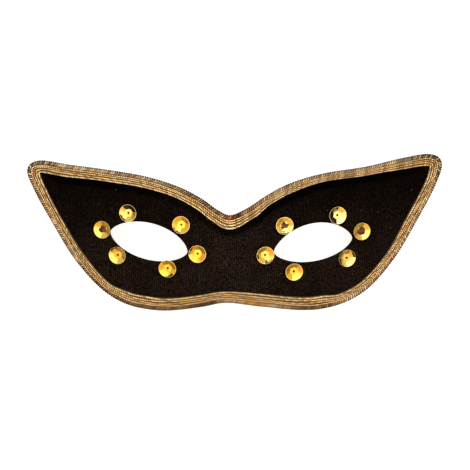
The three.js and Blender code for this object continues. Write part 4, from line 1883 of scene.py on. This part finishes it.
@dataclass
class CupSequin:
    """A cup sequin of thin film: a flat with a hole, sloping facets and a fine lip.

    Args:
        spot: Its place in the table.
        eye: The eye hole that it belongs to.
        number: Its number at that eye hole.
        wall: Thickness of the film.
        lip: Width of the level lip round the rim.
        lift: How far the sequin's underside is from its seat.
        per_facet: Points along the rim for each facet.
        inner_share: Where a ring lies on the flat, as a share of the flat's radius.
        dark: How worn a dark facet is.
        spotted: How worn a spotted facet is.
        crease_angle: How sharply faces meet at an edge that stays crisp.
        pad: Half the glue pad's sizes across, up and in thickness.
        pad_depth: How far the pad's middle is below the flat.
        blot_height: Half the thickness of the blot that shows.
        blot_squash: How much shorter than wide the blot is.
        lobes: How far its three and its five lobes stand out.
    """

    spot: SequinSpot
    eye: EyeHole
    number: int
    wall: float = 0.16 * MM
    lip: float = 0.15 * MM
    lift: float = 0.12 * MM
    per_facet: int = 6
    inner_share: float = 0.6
    dark: float = 1.0
    spotted: float = 0.56
    crease_angle: float = math.radians(9)
    pad: tuple[float, float, float] = (1.2 * MM, 1.1 * MM, 0.18 * MM)
    pad_depth: float = 0.2 * MM
    blot_height: float = 0.16 * MM
    blot_squash: float = 0.85
    lobes: tuple[float, float] = (0.22, 0.14)

    @property
    def node(self) -> str:
        """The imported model's name for it."""
        return f"sequin_{self.eye.side}_{self.number}"

    def seat(self, form: MouldedForm, shift: Vector, packed: bpy.types.Object) -> Matrix:
        """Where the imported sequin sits.

        Args:
            form: The moulded form.
            shift: How far the table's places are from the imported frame.
            packed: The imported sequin.

        Returns:
            The transform of a sequin that lies at the origin.
        """
        x = self.eye.across * form.half_width + self.spot.across * EYE_LENGTH
        y = self.eye.up * form.half_height + self.spot.up * EYE_LENGTH
        normal = Vector(form.normal(np.float64(x), np.float64(y)))
        rim_height = self.lift + self.wall + SEQUIN_RISE_HEIGHT
        place = Vector((x - normal.x * rim_height, y - normal.y * rim_height, 0)) + shift
        under = min(normal.dot(vert.co) for vert in packed.data.vertices)
        place.z = (under - GAP - normal.x * place.x - normal.y * place.y) / normal.z
        turn = Matrix.Rotation(math.radians(self.spot.turn), 4, "Z")
        lean = Vector((0, 0, 1)).rotation_difference(normal).to_matrix().to_4x4()
        return Matrix.Translation(place + normal * self.lift) @ lean @ turn

    def build(self, seat: Matrix) -> bpy.types.Object:
        """Builds the sequin, with the glue that holds it.

        Args:
            seat: Its transform.

        Returns:
            The finished sequin.
        """
        mesh = bmesh.new()
        sides = SEQUIN_FACETS * self.per_facet
        first = bmesh.ops.create_circle(mesh, cap_ends=False, segments=sides, radius=SEQUIN_DIAMETER)
        ring = mesh.edges[:]
        section = self.section()
        self.place_ring(first["verts"], section[0])
        for row in section[1:] + section[:1]:
            made = bmesh.ops.extrude_edge_only(mesh, edges=ring)["geom"]
            ring = [item for item in made if isinstance(item, bmesh.types.BMEdge)]
            ring = [edge for edge in ring if len(edge.link_faces) == 1]
            self.place_ring([item for item in made if isinstance(item, bmesh.types.BMVert)], row)
        weld(mesh)
        self.set_order(mesh)
        self.lay_map(mesh)
        self.mark_age(mesh)
        self.add_glue(mesh)
        bmesh.ops.transform(mesh, matrix=seat, verts=mesh.verts[:])
        piece = make_piece(f"cup_{self.node}", mesh, Vector((0, 0, 0)))
        self.crease(piece)
        return piece

    @staticmethod
    def set_order(mesh: bmesh.types.BMesh) -> None:
        """Puts edges and faces in one order, which extruding leaves open.

        Args:
            mesh: The unturned sequin.
        """
        mesh.verts.index_update()
        for parts in (mesh.edges, mesh.faces):
            parts.sort(key=lambda part: sum(math.sqrt(vert.index + 2) for vert in part.verts))

    def section(self) -> list[tuple[float, float, float]]:
        """Rings from the rim over the flat to the hole and back below it.

        Returns:
            For each ring its radius, what it takes of the flat's radius, and its height.
        """
        rim, hole, rise = SEQUIN_DIAMETER / 2, SEQUIN_HOLE_DIAMETER / 2, SEQUIN_RISE_HEIGHT
        half = [
            (rim, 0.0, rise),
            (rim - self.lip, 0.0, rise),
            (0.0, 1.0, 0.0),
            (0.0, self.inner_share, 0.0),
            (hole, 0.0, 0.0),
        ]
        over = [(radius, share, height + self.wall) for radius, share, height in half]
        return over + half[::-1]

    @staticmethod
    def place_ring(verts: list[bmesh.types.BMVert], row: tuple[float, float, float]) -> None:
        """Moves a ring's points to their radius and height.

        Args:
            verts: The ring's points.
            row: Its row of the section.
        """
        half = math.pi / SEQUIN_FACETS
        for vert in verts:
            angle = math.atan2(vert.co.y, vert.co.x)
            off = angle % (2 * half) - half
            flat = SEQUIN_FLAT_DIAMETER / 2 * math.cos(half) / math.cos(off)
            reach = row[0] + row[1] * flat
            vert.co = (reach * math.cos(angle), reach * math.sin(angle), row[2])

    @staticmethod
    def lay_map(mesh: bmesh.types.BMesh) -> None:
        """Gives the sequin a map whose unit is its diameter, with its middle at 0.

        Args:
            mesh: The unturned sequin.
        """
        layer = mesh.loops.layers.uv.new("surface")
        for face in mesh.faces:
            for loop in face.loops:
                loop[layer].uv = loop.vert.co.xy / SEQUIN_DIAMETER

    def mark_age(self, mesh: bmesh.types.BMesh) -> None:
        """Marks how pale the film's painted highlight makes it, and which sloping facets are dark or
        spotted.

        Args:
            mesh: The unturned sequin.
        """
        pale = mesh.faces.layers.float.new("pale")
        worn = mesh.faces.layers.float.new("worn")
        marks = [(direction, self.dark) for direction in self.spot.dark]
        marks += [(direction, self.spotted) for direction in self.spot.spotted]
        for face in mesh.faces:
            # Painted highlight over the whole sequin
            face[pale] = self.spot.pale
            middle = face.calc_center_median()
            # Past the flat's corners
            if middle.xy.length > 0.55 * SEQUIN_FLAT_DIAMETER:
                angle = math.atan2(middle.y, middle.x)
                found = [share for direction, share in marks if self.same_facet(angle, direction)]
                face[worn] = max(found, default=0.0)

    def same_facet(self, angle: float, direction: float) -> bool:
        """Whether an angle on the sequin lies on the facet that faces a direction of the plan.

        Args:
            angle: The angle on the unturned sequin.
            direction: The direction, in degrees.

        Returns:
            Whether it does.
        """
        half = math.pi / SEQUIN_FACETS
        wanted = math.radians(direction - self.spot.turn)
        facet = (math.floor(wanted / (2 * half)) + 0.5) * 2 * half
        return abs((angle - facet + math.pi) % (2 * math.pi) - math.pi) < half

    def add_glue(self, mesh: bmesh.types.BMesh) -> None:
        """Adds the pad of glue under the flat, and the blot that shows in its middle.

        Args:
            mesh: The unturned sequin.
        """
        film = set(mesh.faces)
        pad = bmesh.ops.create_uvsphere(mesh, u_segments=16, v_segments=8, radius=1.0)["verts"]
        for vert in pad:
            vert.co = vert.co * Vector(self.pad) - Vector((0, 0, self.pad_depth))
        if self.spot.blot:
            blot = bmesh.ops.create_icosphere(mesh, subdivisions=3, radius=1.0)["verts"]
            reach = self.spot.blot * SEQUIN_FLAT_DIAMETER / 2
            for vert in blot:
                angle = math.atan2(vert.co.y, vert.co.x)
                threes = self.lobes[0] * math.sin(3 * angle + self.spot.turn)
                lobe = reach * (1 + threes + self.lobes[1] * math.sin(5 * angle))
                vert.co.x *= lobe
                vert.co.y *= lobe * self.blot_squash
                vert.co.z = self.wall + vert.co.z * self.blot_height
            # Only the blot is marked; the pad stays at 0 and takes the glue's painted hole shade
            worn = mesh.faces.layers.float["worn"]
            for face in {face for vert in blot for face in vert.link_faces}:
                face[worn] = 1.0
        for face in mesh.faces:
            face.material_index = 0 if face in film else 1

    def crease(self, piece: bpy.types.Object) -> None:
        """Keeps the facets' edges crisp.

        Args:
            piece: The finished sequin.
        """
        meeting: dict[tuple[int, int], list[Vector]] = {}
        for face in piece.data.polygons:
            for key in face.edge_keys:
                meeting.setdefault(key, []).append(face.normal)
        for edge in piece.data.edges:
            first, *others = meeting[edge.key]
            edge.use_edge_sharp = any(first.angle(other) > self.crease_angle for other in others)


@dataclass(frozen=True)
class SoftBox:
    """A soft light that faces the mask.

    Args:
        name: Its name.
        azimuth: Its direction in the plan, in degrees from the mask's lower edge.
        elevation: Its height over the floor, in degrees.
        distance: How far away it hangs.
        width: Its diameter.
        power: Its power in watts.
        tint: Its colour.
    """

    name: str
    azimuth: float
    elevation: float
    distance: float
    width: float
    power: float
    tint: Colour = (1.0, 0.98, 0.95)

    def hang(self) -> None:
        """Puts the light in its place."""
        lamp = bpy.data.lights.new(self.name, "AREA")
        lamp.shape = "DISK"
        lamp.size = self.width
        lamp.energy = self.power
        lamp.color = self.tint
        light = bpy.data.objects.new(self.name, lamp)
        turn, tip = math.radians(self.azimuth), math.radians(self.elevation)
        way = Vector((math.sin(turn) * math.cos(tip), -math.cos(turn) * math.cos(tip), math.sin(tip)))
        light.location = way * self.distance
        light.rotation_euler = way.to_track_quat("Z", "Y").to_euler()
        light.visible_camera = False
        bpy.context.scene.collection.objects.link(light)


@dataclass(frozen=True)
class Studio:
    """The pale floor, the soft lights, and the camera straight above the mask.

    Args:
        floor_radius: Radius of the floor.
        floor_drop: How far the floor is below the mask.
        view_width: Width of the picture at the height of the mask's face.
        view_middle: The picture's middle in the plan.
        camera_height: Height of the camera.
        face_height: Height of the mask's face.
        sensor_width: Width of the camera's sensor, in millimetres.
        near_wall: Colour of the wall on the side of the mask's lower edge.
        far_wall: Colour of the wall on the side of its upper edge.
        skirting: Colour of both walls near the floor.
        wall_span: Where the near wall ends and the far one starts, as a direction's share of y.
        skirting_span: Where the skirting ends and the walls start, as a direction's share of z.
        lights: The lights.
    """

    floor_radius: float = 6.0
    floor_drop: float = 0.05 * MM
    view_width: float = 213.85 * MM
    view_middle: tuple[float, float] = (0.2 * MM, -1.3 * MM)
    camera_height: float = 2.4
    face_height: float = 14 * MM
    sensor_width: float = 36.0
    near_wall: Colour = (1.05, 0.68, 0.30)
    far_wall: Colour = (0.74, 0.70, 0.62)
    skirting: Colour = (0.12, 0.055, 0.02)
    wall_span: tuple[float, float] = (-0.5, 0.7)
    skirting_span: tuple[float, float] = (0.02, 0.24)
    lights: tuple[SoftBox, ...] = (
        SoftBox("overhead", 0, 88, 2.2, 3.6, 37.0),
        SoftBox("far_side", 165, 52, 2.2, 1.4, 8.0),
    )

    @staticmethod
    def seen_or_lit(tree: bpy.types.NodeTree, seen: bpy.types.NodeSocket,
                    lit: bpy.types.NodeSocket) -> bpy.types.NodeSocket:
        """Shows one shader to the camera and another to all else.

        Args:
            tree: The node tree.
            seen: What the camera sees.
            lit: What lights the mask.

        Returns:
            The mixed shader.
        """
        path = tree.nodes.new("ShaderNodeLightPath")
        mixed = tree.nodes.new("ShaderNodeMixShader")
        tree.links.new(path.outputs["Is Camera Ray"], mixed.inputs[0])
        tree.links.new(lit, mixed.inputs[1])
        tree.links.new(seen, mixed.inputs[2])
        return mixed.outputs[0]

    def lay_floor(self) -> None:
        """Lays the floor just under the mask. It looks white, and throws back little light."""
        mesh = bmesh.new()
        bmesh.ops.create_circle(mesh, cap_ends=True, segments=96, radius=self.floor_radius)
        floor = make_piece("pale_floor", mesh, Vector((0, 0, -self.floor_drop)))
        board = ShaderBoard("pale_paper")
        board.dress(Base_Color=(0.25, 0.25, 0.25), Roughness=0.9, Specular_IOR_Level=0.0)
        tree = board.material.node_tree
        bright = board.node("BsdfPrincipled")
        for name, value in (
            ("Base Color", (0.5, 0.5, 0.5)),
            ("Emission Color", (1.0, 1.0, 1.0)),
            ("Emission Strength", 0.8),
            ("Specular IOR Level", 0.0),
        ):
            board.feed(bright.inputs[name], value)
        mixed = self.seen_or_lit(tree, bright.outputs[0], board.surface.outputs[0])
        tree.links.new(mixed, tree.nodes["Material Output"].inputs["Surface"])
        floor.data.materials.append(board.material)

    def set_world(self) -> None:
        """Gives the room a dark skirting and soft walls, white on the far side and warm on the near."""
        world = bpy.data.worlds.new("studio_room")
        bpy.context.scene.world = world
        world.use_nodes = True
        nodes, links = world.node_tree.nodes, world.node_tree.links
        parts = nodes.new("ShaderNodeSeparateXYZ")
        links.new(nodes.new("ShaderNodeTexCoord").outputs["Generated"], parts.inputs[0])
        shares = []
        for output, (low, high) in ((1, self.wall_span), (2, self.skirting_span)):
            ramp = nodes.new("ShaderNodeMapRange")
            ramp.interpolation_type = "SMOOTHSTEP"
            ramp.inputs["From Min"].default_value = low
            ramp.inputs["From Max"].default_value = high
            links.new(parts.outputs[output], ramp.inputs[0])
            shares.append(ramp.outputs[0])
        walls = self.mixed_colour(world.node_tree, shares[0])
        walls.inputs[6].default_value = (*self.near_wall, 1.0)
        walls.inputs[7].default_value = (*self.far_wall, 1.0)
        room = self.mixed_colour(world.node_tree, shares[1])
        room.inputs[6].default_value = (*self.skirting, 1.0)
        links.new(walls.outputs[2], room.inputs[7])
        lit = nodes["Background"]
        links.new(room.outputs[2], lit.inputs["Color"])
        seen = nodes.new("ShaderNodeBackground")
        seen.inputs["Color"].default_value = (1.0, 1.0, 1.0, 1.0)
        mixed = self.seen_or_lit(world.node_tree, seen.outputs[0], lit.outputs[0])
        links.new(mixed, nodes["World Output"].inputs["Surface"])

    @staticmethod
    def mixed_colour(tree: bpy.types.NodeTree, share: bpy.types.NodeSocket) -> bpy.types.Node:
        """Adds a node that mixes two colours.

        Args:
            tree: The node tree.
            share: Where its share comes from.

        Returns:
            The node.
        """
        mixed = tree.nodes.new("ShaderNodeMix")
        mixed.data_type = "RGBA"
        tree.links.new(share, mixed.inputs[0])
        return mixed

    def set_camera(self) -> None:
        """Puts the camera straight above the mask, with a long lens."""
        lens = bpy.data.cameras.new("photo_camera")
        lens.sensor_width = self.sensor_width
        lens.lens = self.sensor_width * (self.camera_height - self.face_height) / self.view_width
        lens.clip_end = 20.0
        camera = bpy.data.objects.new("photo_camera", lens)
        camera.location = (*self.view_middle, self.camera_height)
        bpy.context.scene.collection.objects.link(camera)
        bpy.context.scene.camera = camera

    def build(self) -> None:
        """Sets up the whole studio."""
        bpy.context.scene.view_settings.view_transform = "Standard"
        self.set_camera()
        self.set_world()
        self.lay_floor()
        for light in self.lights:
            light.hang()


@dataclass
class ButterflyMask:
    """The whole mask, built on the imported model's frame.

    Args:
        nodes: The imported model's objects by name.
    """

    nodes: dict[str, bpy.types.Object]
    form: MouldedForm = field(init=False)
    shift: Vector = field(init=False)

    def __post_init__(self) -> None:
        """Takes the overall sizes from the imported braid's box."""
        low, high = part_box("edge_braid")
        half = (high - low) / 2
        self.form = MouldedForm(half.x - BRAID_PROUD, half.y - BRAID_PROUD)
        middle = Rim(self.form, PACKED_STEPS).packed_middle()
        self.shift = Vector((-middle[0], -middle[1], 0))

    def build(self) -> None:
        """Builds every piece, hides the imported node that it stands for, and reports it."""
        face = ClothFace(self.form, self.shift)
        cloth = face.build()
        cloth.data.materials.append(RibbedCloth().material())
        self.hand_over(cloth, "mask_face", "black_cloth")
        for piece in EdgeBraid(self.form, face, self.shift).build():
            self.hand_over(piece, "edge_braid", "gold_braid")
        film, glue = MetalFilm().material(), AmberGlue().material()
        for eye in EYES:
            for number, spot in enumerate(eye.sequins, start=1):
                sequin = CupSequin(spot, eye, number)
                seat = sequin.seat(self.form, self.shift, self.nodes[sequin.node])
                piece = sequin.build(seat)
                piece.data.materials.append(film)
                piece.data.materials.append(glue)
                self.hand_over(piece, sequin.node, "gold_sequin")

    @staticmethod
    def hand_over(piece: bpy.types.Object, node: str, slot: str) -> None:
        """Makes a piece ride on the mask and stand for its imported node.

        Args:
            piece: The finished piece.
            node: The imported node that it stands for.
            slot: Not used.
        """
        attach(piece, BODY)
        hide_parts(node)
        report(piece)


def main() -> None:
    """Loads the frame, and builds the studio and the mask."""
    logging.basicConfig(level=logging.INFO, format="%(message)s", stream=sys.stdout)
    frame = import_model()
    Studio().build()
    ButterflyMask(frame["nodes"]).build()
    bpy.context.view_layer.update()


if __name__ == "__main__":
    main()
